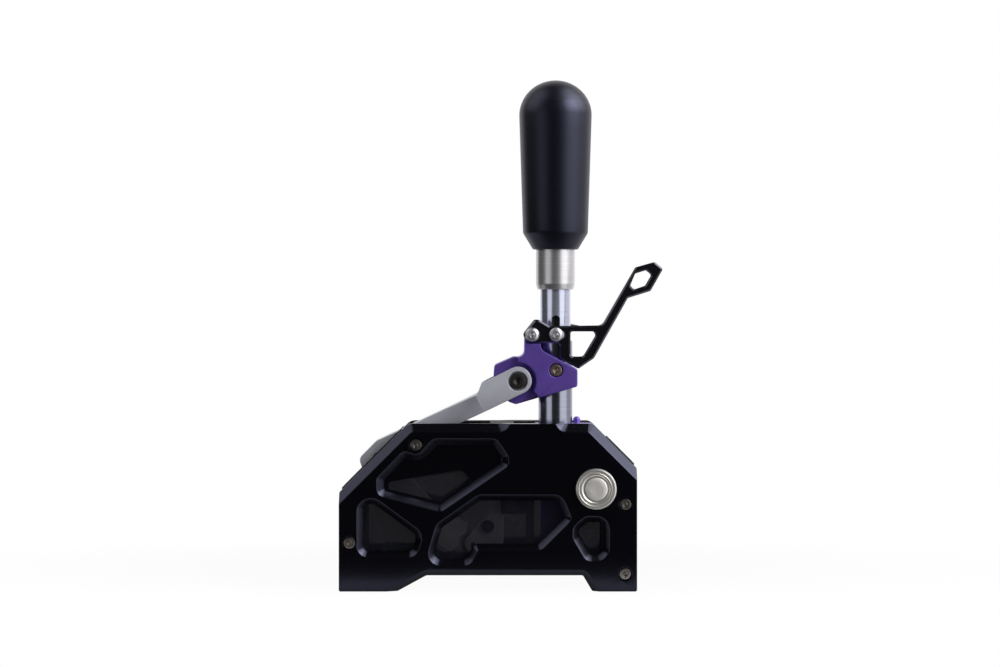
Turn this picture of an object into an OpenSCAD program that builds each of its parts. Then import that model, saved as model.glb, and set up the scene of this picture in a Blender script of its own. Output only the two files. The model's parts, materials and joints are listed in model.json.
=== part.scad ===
// Sequential gear shifter for a driving simulator, in millimetres.
// X runs from the front of the body to the driver, Y across it from left to right, and Z up.
// The origin is the middle of the base bolt pattern, on the surface that the feet stand on.

/* [Body] */
// Length of a side plate
body_len = 160; // [158:1:166]
// Height of a side plate
body_h = 90; // [90:0.5:93]
// Clear width between the side plates
plate_gap = 30; // [30:0.5:34]
// Thickness of a side plate
plate_t = 8; // [8:0.5:11]
// Run of the 45 degree slope at the front
front_slope = 37; // [35:0.5:38]
// Run of the 45 degree slope at the rear
rear_slope = 24; // [22:0.5:24.5]
// Bevel along the top and the slopes
edge_bevel = 4.5; // [2:0.25:4.5]
// Bevel round the windows
window_bevel = 3.4; // [2:0.2:3.8]
// Bevel along the arch between the feet
arch_bevel = 2.9; // [1:0.1:3.5]
// Height of the arch between the feet
arch_h = 8.4; // [7:0.2:8.4]
// Length of the front foot
front_foot = 31.5; // [29:0.5:33]
// Length of the rear foot
rear_foot = 24; // [22:0.5:25]
// Thickness of the window panes
pane_t = 2; // [1.5:0.1:2.4]
// Overlap of a pane behind the edge of its window
pane_lap = 2; // [1:0.1:2.2]
// Thickness of the slope covers
slope_cover_t = 2; // [1.5:0.1:2.5]
// Height of the slope covers above the edges of the plates
cover_proud = 0.7; // [0.2:0.1:1]
// Thickness of the top cover
top_cover_t = 1.8; // [1.2:0.1:2]
// Thickness of the bottom plate
bottom_t = 2.6; // [2:0.1:3]

/* [Base threads] */
// Distance between the base threads along the body
mount_x = 132; // [130:1:134]
// Distance between the base threads across the body
mount_y = 18; // [14:0.5:20]
// Tapping diameter of a base thread
mount_d = 5; // [4:0.1:5.2]
// Depth of a base thread
mount_depth = 14; // [10:0.5:16]

/* [Lever] */
// Place of the lever axle along the body
lever_x = 36.7; // [36:0.1:37.2]
// Height of the lever axle
lever_z = 22; // [21:0.1:22.4]
// Diameter of the lever axle
lever_axle_d = 8; // [6:0.2:9]
// Diameter of the lower part of the tube
tube_d = 18.5; // [17.6:0.1:18.8]
// Diameter of the upper part of the tube
tube_top_d = 16.5; // [15:0.1:17]
// Depth of the tube below the top of the body
tube_in = 19; // [17:0.5:20]
// Height of the step in the tube above the link eye
tube_step = 22; // [20.8:0.2:22.4]
// Bore of the tube
tube_bore_d = 10.1; // [8:0.1:10.6]
// Width of the slot in the tube
slot_w = 4.3; // [4.2:0.1:4.8]
// Height of the top end of the slot above the link eye
slot_top = 35.4; // [33.4:0.2:36.4]
// Diameter of the knob adapter
adapter_d = 21.2; // [19:0.2:24]
// Height of the bottom of the knob adapter above the link eye
adapter_up = 49.6; // [47.6:0.2:53.4]
// Length of the knob adapter below the knob
adapter_h = 21.8; // [18:0.2:26]
// Length of the knob
knob_h = 92; // [80:1:100]
// Largest diameter of the knob
knob_d = 39.5; // [36:0.5:42]
// Diameter of the knob above its bottom bevel
knob_low_d = 35.4; // [33:0.2:36]
// Diameter of the bottom face of the knob
knob_end_d = 25; // [23:0.5:28]
// Height of the bottom bevel of the knob
knob_bevel = 9; // [6:0.5:12]
// Height of the dome of the knob
knob_dome = 19; // [16:0.5:20]

/* [Link and rocker] */
// Place of the link eye in front of the tube
eye_dx = 20.6; // [20:0.1:21]
// Height of the link eye above the top of the body
eye_up = 22.6; // [22:0.1:24]
// Radius of the link eye
eye_r = 7.55; // [7:0.05:7.8]
// Place of the front pivot of the link along the body
pin_x = -60; // [-61:0.1:-59]
// Depth of the front pivot of the link below the top of the body
pin_in = 19; // [18:0.1:20]
// Diameter of the link pin
pin_d = 5; // [4:0.1:5.4]
// Place of the rocker axle along the body
rocker_x = -32; // [-33:0.1:-31]
// Height of the rocker axle
rocker_z = 37; // [36:0.1:38]
// Diameter of the rocker axle
rocker_axle_d = 6; // [5:0.1:7]
// Width of the link bar
bar_w = 16; // [14:0.2:17]
// Thickness of the arms of the link fork
arm_t = 4; // [3.4:0.1:4.2]
// Width of the bracket
bracket_w = 31; // [30:0.2:33]
// Width of the bracket between the arms of the fork
lug_w = 21.6; // [20:0.2:21.8]
// Radius of the rim of the rocker cam
cam_r = 20.75; // [19:0.05:21.5]
// Direction from the rocker axle to the detent roller, below the horizontal
cam_dir = 29.7; // [28:0.1:32]
// Radius of the detent roller
roller_r = 6.2; // [5:0.1:6.6]

/* [Lockout] */
// Place of the lockout pivot in front of the tube
lock_dx = 12.8; // [12.4:0.1:13.2]
// Height of the lockout pivot above the link eye
lock_dz = 25.1; // [24.8:0.1:26]
// Thickness of the lockout lever
lock_t = 4; // [3:0.1:4.4]
// Diameter of the pivot screws of the lockout lever
lock_screw_d = 5; // [4:0.1:5.4]
// Diameter of the cross pin
cross_d = 4; // [3:0.1:4]
// Diameter of the screw heads of the lockout lever
lock_head_d = 7.6; // [6:0.1:8.4]
// Depth of the gate pin below the top of the body
gate_pin_in = 30; // [29:0.2:31]

/* [Button] */
// Distance of the button from the rear end of the body
button_in = 22; // [21.5:0.1:22.5]
// Height of the button on a plate of the drawn height
button_rise = 55.1; // [54.6:0.1:56]
// Diameter of the button bezel
bezel_d = 22; // [20.5:0.1:23]
// Thickness of the button bezel
bezel_t = 2.2; // [1.6:0.1:3]
// Diameter of the threaded body of the button
button_d = 19; // [17:0.1:19.4]
// Diameter of the button cap
cap_d = 12.1; // [10:0.1:13]

/* [Hidden] */
$fn = 64;
root2 = sqrt(2);
// Clearances: pieces that are pressed or screwed together, that turn on a pin, and that pass each other
seat_fit = 0.03;
run_fit = 0.05;
pass_gap = 0.4;
// Small overlap that keeps cuts clean
over = 1;
corner_steps = 5;
least_r = 0.5;

// The windows and the button are drawn on a plate of this size and follow the plate.
drawn_len = 160;
drawn_h = 90;

half_len = body_len / 2;
in_y = plate_gap / 2;
out_y = in_y + plate_t;
front_top_x = front_slope - half_len;
rear_top_x = half_len - rear_slope;
tube_z = body_h - tube_in;
eye_z = body_h + eye_up;
tube_step_z = eye_z + tube_step;
slot_top_z = eye_z + slot_top;
adapter_z = eye_z + adapter_up;
knob_z = adapter_z + adapter_h;
pin_z = body_h - pin_in;
gate_pin_z = body_h - gate_pin_in;
button_x = half_len - button_in;
button_z = button_rise * body_h / drawn_h;

black = [0.06, 0.06, 0.07];
steel = [0.72, 0.72, 0.74];
dark_steel = [0.22, 0.22, 0.24];
purple = [0.30, 0.22, 0.52];
silver = [0.70, 0.71, 0.74];
bronze = [0.60, 0.45, 0.25];
smoke = [0.10, 0.10, 0.12, 0.5];
board_green = [0.05, 0.25, 0.15];

// Outlines are lists of corners [across, up, radius], anticlockwise.
function unit(v) = v / norm(v);
function flat(p) = [p[0], p[1]];
function away(p, q) = let (d = unit(q - p)) [d[1], -d[0]];
function pushed(pts, i, off) =
    let (n = len(pts), p = flat(pts[i]))
    let (a = away(flat(pts[(i + n - 1) % n]), p), b = away(p, flat(pts[(i + 1) % n])))
    p + (a + b) * off / (1 + a * b);
function rounded(a, p, b, r, off) =
    let (u = unit(a - p), v = unit(b - p), turn = cross(p - a, b - p) > 0 ? 1 : -1)
    let (radius = max(r + turn * off, least_r), half = acos(u * v) / 2)
    let (c = p + unit(u + v) * radius / sin(half), s = p + u * radius / tan(half) - c)
    let (from = atan2(s[1], s[0]), sweep = turn * (180 - 2 * half) / corner_steps)
    [for (k = [0:corner_steps]) c + radius * [cos(from + sweep * k), sin(from + sweep * k)]];
function ring(pts, off = 0) =
    let (n = len(pts), c = [for (i = [0:n - 1]) pushed(pts, i, off)])
    [for (i = [0:n - 1]) each rounded(c[(i + n - 1) % n], c[i], c[(i + 1) % n], pts[i][2], off)];
function at_height(points, z) = [for (p = points) [p[0], p[1], z]];

// A closed skin through rings of points, each ring anticlockwise as seen from the last one.
module lofted(rings) {
    n = len(rings[0]);
    last = (len(rings) - 1) * n;
    sides = [for (j = [0:len(rings) - 2], i = [0:n - 1])
        let (a = j * n + i, b = j * n + (i + 1) % n)
        each [[a, a + n, b + n], [a, b + n, b]]];
    ends = [[for (i = [0:n - 1]) i], [for (i = [n - 1:-1:0]) last + i]];
    polyhedron([for (r = rings) each r], concat(ends, sides), convexity = 8);
}

module side(y0, y1) {
    translate([0, y1, 0]) rotate([90, 0, 0]) linear_extrude(y1 - y0) children();
}

module across(x, z, r, y0, y1) {
    translate([x, y1, z]) rotate([90, 0, 0]) cylinder(r = r, h = y1 - y0);
}

module both_sides() {
    children();
    mirror([0, 1, 0]) children();
}

module block(x0, x1, y0, y1, z0, z1) {
    translate([x0, y0, z0]) cube([x1 - x0, y1 - y0, z1 - z0]);
}

// A socket screw whose head ends at the origin and whose shank runs down.
module cap_screw(head_d, head_h, shank_d, shank_l) {
    key_d = head_d * 0.5;
    difference() {
        union() {
            translate([0, 0, -head_h]) cylinder(d = head_d, h = head_h);
            translate([0, 0, -head_h - shank_l]) cylinder(d = shank_d, h = shank_l);
        }
        translate([0, 0, -head_h * 0.6]) cylinder(d = key_d, h = head_h, $fn = 6);
    }
}

// The same screw set in the left side at a place and a depth, pointing into the body.
module left_screw(x, y, z, head_d, head_h, shank_d, shank_l) {
    translate([x, -y, z]) rotate([90, 0, 0]) cap_screw(head_d, head_h, shank_d, shank_l);
}

// Side plates, drawn flat with the inner face at 0 and then stood up.
plate_outline = [
    [-half_len, 0, 1], [half_len, 0, 1], [half_len, body_h - rear_slope, 1.5], [rear_top_x, body_h, 5],
    [front_top_x, body_h, 6], [-half_len, body_h - front_slope, 1.5]
];
// The bevel stops short of a plain stretch of the top edge.
plain_from = 7.6;
plain_to = 40.7;
reach = 40;
bevel_guide = [
    [half_len + reach, -reach, 1], [half_len + reach, body_h - rear_slope - reach, 1],
    [rear_top_x, body_h, 7.3], [plain_to, body_h, 1.2], [plain_to, body_h + reach, 1],
    [plain_from, body_h + reach, 1], [plain_from, body_h, 1.2], [front_top_x, body_h, 8.3],
    [-half_len - reach, body_h - front_slope - reach, 1], [-half_len - reach, -reach, 1]
];
front_ramp = 15.4;
rear_ramp = 5;
arch_outline = [
    [-half_len + front_foot - front_ramp, -arch_h, 1], [half_len - rear_foot + rear_ramp, -arch_h, 1],
    [half_len - rear_foot - rear_ramp, arch_h, 1.5], [-half_len + front_foot + front_ramp, arch_h, 3]
];
function on_plate(pts) = [for (p = pts) [p[0] * body_len / drawn_len, p[1] * body_h / drawn_h, p[2]]];
low_front_drawn = [
    [-66.9, 21.5, 3], [-41, 21.5, 2.5], [-38.4, 30, 3], [-61, 46.6, 3], [-66.9, 46.6, 3.5]
];
middle_drawn = [
    [-29.8, 17, 3.5], [-11.6, 17, 3], [-7.6, 25.3, 3], [27.1, 25.3, 2.5], [41.5, 39.7, 1.5],
    [37.6, 48.6, 3.5], [-4.2, 48.6, 3.5], [-24.6, 34.2, 4]
];
low_rear_drawn = [
    [54.8, 19.4, 2.5], [61.6, 19.4, 4], [62, 37, 3.5], [53.3, 37, 2.5], [49, 33, 1.5], [49, 29.5, 1.5]
];
upper_drawn = [
    [-53, 54.6, 1.6], [-25.6, 47.6, 1.5], [-8.8, 59, 2.5], [-14, 64.9, 4], [-53, 58.6, 1.4]
];
pocket_drawn = [
    [-59.6, 51.5, 5], [-25.2, 42.6, 4], [11.2, 67.4, 4.5], [10.9, 73.3, 4.5], [4.8, 82.2, 5],
    [-29.4, 82.2, 4], [-38, 72.7, 5], [-45.2, 76, 3.5], [-59.6, 61, 4]
];
low_front_window = on_plate(low_front_drawn);
middle_window = on_plate(middle_drawn);
low_rear_window = on_plate(low_rear_drawn);
upper_window = on_plate(upper_drawn);
upper_pocket = on_plate(pocket_drawn);
middle_top = max([for (p = middle_window) p[1]]);
pocket_depth = 4.4;
windows = [low_front_window, middle_window, low_rear_window, upper_window];

screw_d = 3;
screw_head_d = 6;
screw_head_h = 2.2;
screw_sink = 2.6;
screw_grip = 5.2;
thread_end = 0.4;
screw_edge_x = 6.2;
screw_top_x = 4.4;
screw_top_z = 11.4;
plate_screws = [
    [front_top_x + screw_top_x, body_h - screw_top_z], [-half_len + 5.7, 26.1],
    [half_len - screw_edge_x, 46.8], [half_len - screw_edge_x - 0.2, 9.5]
];
axle_sink = 4.6;
axle_end_gap = 0.1;
axle_end_y = in_y + axle_sink - axle_end_gap;
rebate_w = 1.4;
top_cover_x = [front_top_x + 2, rear_top_x - 1];
top_drop = 0.4;

module window_cut(pts, inner, floor_z) {
    wall_z = plate_t - window_bevel;
    translate([0, 0, floor_z]) linear_extrude(plate_t + over - floor_z) polygon(ring(pts, inner));
    lofted([
        at_height(ring(pts, inner), wall_z),
        at_height(ring(pts, inner + window_bevel + over), plate_t + over)
    ]);
}

module flat_plate(with_button) {
    difference() {
        intersection() {
            linear_extrude(plate_t) polygon(ring(plate_outline));
            lofted([
                at_height(ring(bevel_guide, plate_t - edge_bevel + over), -over),
                at_height(ring(bevel_guide, -edge_bevel - over), plate_t + over)
            ]);
        }
        for (w = [low_front_window, middle_window, low_rear_window]) window_cut(w, 0, -over);
        window_cut(upper_pocket, -window_bevel, plate_t - pocket_depth);
        translate([0, 0, -over]) linear_extrude(plate_t) polygon(ring(upper_window));
        for (w = windows) {
            translate([0, 0, -over]) linear_extrude(pane_t + over) polygon(ring(w, pane_lap));
        }
        lofted([
            at_height(ring(arch_outline), -over), at_height(ring(arch_outline), plate_t - arch_bevel),
            at_height(ring(arch_outline, arch_bevel + over), plate_t + over)
        ]);
        for (s = plate_screws) translate([s[0], s[1], 0]) {
            translate([0, 0, -over]) cylinder(d = screw_d + 2 * pass_gap, h = plate_t + 2 * over);
            translate([0, 0, plate_t - screw_sink]) cylinder(d = screw_head_d + 1.2, h = screw_sink + over);
        }
        translate([lever_x, lever_z, -over]) cylinder(d = lever_axle_d + 2 * seat_fit, h = axle_sink + over);
        translate([rocker_x, rocker_z, -over])
            cylinder(d = rocker_axle_d + 2 * seat_fit, h = axle_sink + over);
        translate([top_cover_x[0] - seat_fit, body_h - top_drop - top_cover_t - seat_fit, -over])
            cube([top_cover_x[1] - top_cover_x[0] + 2 * seat_fit, top_cover_t + reach, rebate_w + over]);
        if (with_button) translate([button_x, button_z, -over])
            cylinder(d = button_d + 2 * run_fit, h = plate_t + 2 * over);
    }
}

module stand_left() {
    translate([0, -in_y, 0]) rotate([90, 0, 0]) children();
}

module left_side_plate() {
    color(black) stand_left() flat_plate(true);
}

module right_side_plate() {
    color(black) mirror([0, 1, 0]) difference() {
        stand_left() flat_plate(false);
        for (dx = gate_screw_x) across(lever_x + dx, gate_screw_z, gate_screw_d / 2 + seat_fit,
            -in_y - gate_screw_in - thread_end, -in_y + over);
    }
}

module panes() {
    for (w = windows) linear_extrude(pane_t - seat_fit) polygon(ring(w, pane_lap - seat_fit));
}

module left_windows() {
    color(smoke) stand_left() panes();
}

module right_windows() {
    color(smoke) mirror([0, 1, 0]) stand_left() panes();
}

module side_plate_screws() {
    color(steel) both_sides() for (s = plate_screws)
        left_screw(s[0], out_y - screw_sink + screw_head_h, s[1], screw_head_d, screw_head_h, screw_d,
            plate_t - screw_sink + screw_grip);
}

module screw_threads(places, depth = screw_grip + thread_end) {
    both_sides() for (s = places) across(s[0], s[1], screw_d / 2 + seat_fit, -in_y - over, -in_y + depth);
}

// Points on the slopes: the distance down from the top edge and the height above the plates' edge.
function on_front(s, o) = [front_top_x - (s + o) / root2, body_h - (s - o) / root2];
function on_rear(s, o) = [rear_top_x + (s + o) / root2, body_h - (s - o) / root2];

// Blocks between the plates, with the base threads in their feet.
end_gap = 0.8;
front_step_x = -half_len + 20;
front_step_z = 18;
front_post_x = -half_len + 14;
front_post_drop = 9;
front_ledge = 4.4;
rear_post_x = half_len - 17.2;
shelf_gap = 5.6;
rear_shelf_z = button_z - button_d / 2 - shelf_gap;
rear_neck = 7.4;
foot_inset = 2.5;
rear_foot_inset = 2;
inner_slope = slope_cover_t - cover_proud;

module base_threads() {
    for (i = [-1, 1], j = [-1, 1]) translate([i * mount_x / 2, j * mount_y / 2, -over])
        cylinder(d = mount_d, h = mount_depth + over);
}

module front_block() {
    low = front_slope * root2 - (end_gap + inner_slope) * root2 + inner_slope;
    top = low - front_ledge;
    profile = [
        [-half_len + end_gap, 0], [-half_len + front_foot - foot_inset, 0],
        [-half_len + front_foot - foot_inset, arch_h], [front_step_x, arch_h], [front_step_x, front_step_z],
        [front_post_x, front_step_z], [front_post_x, body_h - front_slope - front_post_drop],
        on_front(top, -inner_slope),
        on_front(low, -inner_slope)
    ];
    color(dark_steel) difference() {
        side(-in_y, in_y) polygon(profile);
        base_threads();
        screw_threads([plate_screws[1]]);
        translate([bottom_screw_front, 0, -over])
            cylinder(d = screw_d + 2 * seat_fit, h = arch_h + 2 * over);
    }
}

module rear_block() {
    low = rear_slope * root2 - (end_gap + inner_slope) * root2 + inner_slope;
    top = low - (rear_neck - end_gap) * root2;
    profile = [
        [half_len - end_gap, 0], on_rear(low, -inner_slope), on_rear(top, -inner_slope),
        [on_rear(top, -inner_slope)[0], rear_shelf_z], [rear_post_x, rear_shelf_z], [rear_post_x, arch_h],
        [half_len - rear_foot + rear_foot_inset, arch_h], [half_len - rear_foot + rear_foot_inset, 0]
    ];
    color(dark_steel) difference() {
        side(-in_y, in_y) polygon(profile);
        base_threads();
        screw_threads([plate_screws[2], plate_screws[3]]);
        translate([bottom_screw_rear, 0, -over])
            cylinder(d = screw_d + 2 * seat_fit, h = arch_h + 2 * over);
        usb_place() translate([0, 0, -usb_depth]) linear_extrude(usb_depth + over)
            polygon(ring(usb_outline, seat_fit));
        for (j = [-1, 1]) rear_cover_screw_place(j)
            translate([0, 0, -small_head_h - rear_screw_l - thread_end])
                cylinder(d = small_screw_d + 2 * seat_fit, h = small_head_h + rear_screw_l + thread_end);
    }
}

bottom_screw_front = -half_len + 24;
bottom_screw_rear = half_len - 20;
bottom_head_d = 5;
bottom_head_h = 1.8;
bottom_screw_in = 6;
bottom_x = [front_step_x + 0.2, rear_post_x - 0.2];

module bottom_plate() {
    color(black) difference() {
        block(bottom_x[0], bottom_x[1], -in_y, in_y, arch_h, arch_h + bottom_t);
        for (x = [bottom_screw_front, bottom_screw_rear]) translate([x, 0, arch_h - over])
            cylinder(d = screw_d + 2 * seat_fit, h = bottom_t + 2 * over);
    }
}

module bottom_screws() {
    color(steel) for (x = [bottom_screw_front, bottom_screw_rear])
        translate([x, 0, arch_h + bottom_t + bottom_head_h])
            cap_screw(bottom_head_d, bottom_head_h, screw_d, bottom_t + bottom_screw_in);
}

// Covers
link_slot_w = 18.6;
cover_fit = 0.15;
front_cover_s = [5, front_slope * root2 - 2];
front_bridge = 4.5;
lug_in_y = link_slot_w / 2 + 0.1;

module front_cover() {
    s0 = front_cover_s[0];
    s1 = front_cover_s[1];
    lug_x = plate_screws[0][0];
    lug_top = body_h - top_drop - top_cover_t;
    under = cover_proud - slope_cover_t;
    lug = [
        [lug_x - 5, plate_screws[0][1] - 4.8], [lug_x + 5, plate_screws[0][1] - 4.8], [lug_x + 5, lug_top],
        [front_top_x - (body_h - lug_top), lug_top], on_front(9, 0)
    ];
    color(black) difference() {
        union() {
            difference() {
                side(-in_y + cover_fit, in_y - cover_fit) polygon([
                    on_front(s0, cover_proud), on_front(s1, cover_proud),
                    on_front(s1, under), on_front(s0, under)
                ]);
                side(-link_slot_w / 2, link_slot_w / 2) polygon([
                    on_front(s0 - over, reach), on_front(s1 - front_bridge, reach),
                    on_front(s1 - front_bridge, -reach), on_front(s0 - over, -reach)
                ]);
            }
            both_sides() side(lug_in_y, in_y) polygon(lug);
        }
        screw_threads([plate_screws[0]], in_y - lug_in_y + over);
    }
}

rear_cover_s = [12.5, rear_slope * root2 - 2];
small_screw_d = 2.5;
small_head_d = 4.4;
small_head_h = 1.2;
rear_screw_l = 6;
rear_cover_screw_s = rear_cover_s[1] - 4.6;
rear_cover_screw_y = 9.5;

module rear_cover_screw_place(j) {
    p = on_rear(rear_cover_screw_s, cover_proud);
    translate([p[0], j * rear_cover_screw_y, p[1]]) rotate([0, 45, 0]) children();
}

module rear_cover() {
    under = cover_proud - slope_cover_t;
    color(black) difference() {
        side(-in_y + cover_fit, in_y - cover_fit) polygon([
            on_rear(rear_cover_s[0], cover_proud), on_rear(rear_cover_s[0], under),
            on_rear(rear_cover_s[1], under), on_rear(rear_cover_s[1], cover_proud)
        ]);
        for (j = [-1, 1]) rear_cover_screw_place(j) {
            translate([0, 0, -4]) cylinder(d = small_screw_d + 2 * seat_fit, h = 8);
            translate([0, 0, -small_head_h]) cylinder(d = small_head_d + 0.4, h = 4);
        }
    }
}

module rear_cover_screws() {
    color(steel) for (j = [-1, 1]) rear_cover_screw_place(j)
        cap_screw(small_head_d, small_head_h, small_screw_d, rear_screw_l);
}

front_mouth_w = 28.6;
lever_mouth_w = 26;
bridge_x = [1, 14];

module top_cover() {
    half_w = in_y + rebate_w - seat_fit;
    z1 = body_h - top_drop;
    color(black) difference() {
        block(top_cover_x[0], top_cover_x[1], -half_w, half_w, z1 - top_cover_t, z1);
        block(top_cover_x[0] + 3, bridge_x[0], -front_mouth_w / 2, front_mouth_w / 2, z1 - reach, z1 + over);
        block(top_cover_x[0] - over, bridge_x[0], -link_slot_w / 2, link_slot_w / 2, z1 - reach, z1 + over);
        block(bridge_x[1], top_cover_x[1] + over, -lever_mouth_w / 2, lever_mouth_w / 2,
            z1 - reach, z1 + over);
    }
}

// Button
cap_travel = 1;
cap_proud = 0.4;
cap_len = 7;
button_end = 3.8;
nut_t = 2.5;

module facing_left(x, y, z) {
    translate([x, -y, z]) rotate([90, 0, 0]) children();
}

module button_housing() {
    depth = plate_t + button_end;
    color(steel) facing_left(button_x, out_y, button_z) difference() {
        rotate_extrude() polygon([
            [0, -depth], [button_d / 2, -depth], [button_d / 2, 0], [bezel_d / 2, 0],
            [bezel_d / 2, bezel_t - 0.9], [bezel_d / 2 - 0.9, bezel_t], [bezel_d / 2 - 1.8, bezel_t],
            [bezel_d / 2 - 2, bezel_t - 0.25], [bezel_d / 2 - 2.3, bezel_t - 0.25],
            [bezel_d / 2 - 2.5, bezel_t], [cap_d / 2 + 1.5, bezel_t],
            [cap_d / 2 + 0.9, bezel_t - 0.5], [0, bezel_t - 0.5]
        ]);
        translate([0, 0, bezel_t + cap_proud - cap_len - cap_travel - 0.4])
            cylinder(d = cap_d + 2 * run_fit, h = cap_len + 10);
    }
}

module button_cap() {
    color(steel) facing_left(button_x, out_y, button_z)
        translate([0, 0, bezel_t + cap_proud - cap_len]) rotate_extrude() polygon([
            [0, 0], [cap_d / 2, 0], [cap_d / 2, cap_len - 0.5], [cap_d / 2 - 0.5, cap_len], [0, cap_len]
        ]);
}

module button_nut() {
    color(steel) facing_left(button_x, in_y, button_z) translate([0, 0, -nut_t]) difference() {
        cylinder(d = button_d + 5.4, h = nut_t, $fn = 6);
        translate([0, 0, -over]) cylinder(d = button_d + 2 * seat_fit, h = nut_t + 2 * over);
    }
}

// Lever socket: a hub on the axle, a stem and a head that grips the tube
hub_r = 9.5;
hub_w = 27.2;
bush_wall = 1.5;
bush_flange = 1;
stem_x = [-8, 6.5];
stem_w = 17;
head_x = [-11, 12.3];
head_w = 23.6;
head_in = 21.5;
head_out = -0.8;
head_z = [body_h - head_in, body_h + head_out];
tab_x = 19.8;
tab_w = 14;
tab_t = 3.4;
nub_dx = 11.6;
nub_r = 1.9;
nub_h = 3.7;
rod_d = tube_bore_d - 2 * run_fit;
rod_end = 4;
rod_cover = 0.3;
rod_z = [gate_pin_z - rod_end, slot_top_z + rod_cover];
gate_pin_d = 4;
grub_up = [4, 13];
grub_z = [for (up = grub_up) tube_z + up];
grub_d = 4;
magnet_d = 5;
magnet_dx = 8;
magnet_in = 10;
magnet_place = [magnet_dx, body_h - magnet_in];

module lever_axle() {
    color(steel) across(lever_x, lever_z, lever_axle_d / 2, -axle_end_y, axle_end_y);
}

module flanged_bush(axle_d, length) {
    difference() {
        union() {
            cylinder(d = axle_d + 2 * bush_wall, h = length);
            translate([0, 0, length - bush_flange]) cylinder(d = axle_d + 2 * bush_wall + 4, h = bush_flange);
        }
        translate([0, 0, -over]) cylinder(d = axle_d + 2 * run_fit, h = length + 2 * over);
    }
}

module bush_pair(x, z, axle_d, width) {
    length = 9;
    both_sides() facing_left(x, width / 2 + bush_flange - length, z) flanged_bush(axle_d, length);
}

module lever_bushes() {
    color(bronze) bush_pair(lever_x, lever_z, lever_axle_d, hub_w);
}

module lever_socket() {
    bore_z = rod_z[0] - 6;
    color(purple) difference() {
        union() {
            across(lever_x, lever_z, hub_r, -hub_w / 2, hub_w / 2);
            block(lever_x + stem_x[0], lever_x + stem_x[1], -stem_w / 2, stem_w / 2, lever_z, head_z[0]);
            block(lever_x + head_x[0], lever_x + head_x[1], -head_w / 2, head_w / 2, head_z[0], head_z[1]);
            block(lever_x + head_x[1] - over, lever_x + tab_x, -tab_w / 2, tab_w / 2,
                head_z[1] - tab_t, head_z[1]);
            translate([lever_x + nub_dx, 0, head_z[1]]) rotate_extrude() polygon([
                [0, 0], [nub_r, 0], [nub_r, nub_h - 1], [nub_r - 1, nub_h], [0, nub_h]
            ]);
        }
        across(lever_x, lever_z, lever_axle_d / 2 + bush_wall + seat_fit, -hub_w, hub_w);
        translate([lever_x, 0, tube_z]) cylinder(d = tube_d + 2 * seat_fit, h = body_h);
        translate([lever_x, 0, bore_z]) cylinder(d = tube_bore_d, h = body_h);
        block(lever_x - gate_pin_d / 2 - pass_gap, lever_x + gate_pin_d / 2 + pass_gap, 0, head_w,
            gate_pin_z - gate_pin_d / 2 - pass_gap, head_z[0]);
        for (z = grub_z) translate([lever_x + head_x[0] - over, 0, z]) rotate([0, 90, 0])
            cylinder(d = grub_d + 2 * seat_fit, h = 6);
        across(lever_x + magnet_place[0], magnet_place[1], magnet_d / 2 + seat_fit, head_w / 2 - 1.6, head_w);
    }
}

module socket_grub_screws() {
    length = -head_x[0] - tube_d / 2 - 2 * seat_fit;
    color(dark_steel) for (z = grub_z) translate([lever_x + head_x[0], 0, z]) rotate([0, 90, 0])
        difference() {
            cylinder(d = grub_d, h = length);
            translate([0, 0, -over]) cylinder(d = 2, h = over + 1, $fn = 6);
        }
}

module sensor_magnet() {
    color(silver) across(lever_x + magnet_place[0], magnet_place[1], magnet_d / 2,
        head_w / 2 - 1.5, head_w / 2 + 0.1);
}

// Tube, adapter and knob
spigot_d = 12;
spigot_l = 10;
stud_l = 16;
spring_wall = 2.2;
spring_top_z = adapter_z - spring_wall;
screw_dz = 5.9;
bracket_screw_d = 4;
bracket_screw_in = 7.4;

module lever_tube() {
    slot_low_z = eye_z + lock_dz - 0.2;
    slot_high_z = slot_top_z - slot_w / 2;
    color(steel) difference() {
        translate([lever_x, 0, 0]) rotate_extrude() polygon([
            [0, tube_z], [tube_d / 2, tube_z], [tube_d / 2, tube_step_z - 0.6],
            [tube_d / 2 - 0.6, tube_step_z], [tube_top_d / 2, tube_step_z],
            [tube_top_d / 2, adapter_z], [spigot_d / 2, adapter_z], [spigot_d / 2, adapter_z + spigot_l],
            [0, adapter_z + spigot_l]
        ]);
        translate([lever_x, 0, tube_z - over]) cylinder(d = tube_bore_d, h = spring_top_z - tube_z + over);
        for (z = [slot_low_z, slot_high_z]) across(lever_x, z, slot_w / 2, -tube_d, tube_d);
        block(lever_x - slot_w / 2, lever_x + slot_w / 2, -tube_d, tube_d, slot_low_z, slot_high_z);
        both_sides() across(lever_x, eye_z + screw_dz, bracket_screw_d / 2 + seat_fit,
            -tube_d, -bracket_screw_in + 0.1);
    }
}

module knob_adapter() {
    taper_h = 2.9;
    taper_r = 0.8;
    color(silver) difference() {
        translate([lever_x, 0, 0]) rotate_extrude() polygon([
            [0, adapter_z], [adapter_d / 2 - taper_r, adapter_z], [adapter_d / 2, adapter_z + taper_h],
            [adapter_d / 2, knob_z], [spigot_d / 2, knob_z], [spigot_d / 2, knob_z + stud_l],
            [0, knob_z + stud_l]
        ]);
        translate([lever_x, 0, adapter_z - over])
            cylinder(d = spigot_d + 2 * seat_fit, h = spigot_l + over + 0.2);
    }
}

module gear_knob() {
    r = knob_d / 2;
    dome_z = knob_z + knob_h - knob_dome;
    dome = [for (a = [0:6:90]) [r * cos(a), dome_z + knob_dome * sin(a)]];
    color(black) translate([lever_x, 0, 0]) difference() {
        rotate_extrude() polygon(concat(
            [[0, knob_z], [knob_end_d / 2, knob_z], [knob_low_d / 2, knob_z + knob_bevel]], dome
        ));
        translate([0, 0, knob_z - over]) cylinder(d = spigot_d + 2 * seat_fit, h = stud_l + over + 0.2);
    }
}

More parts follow.
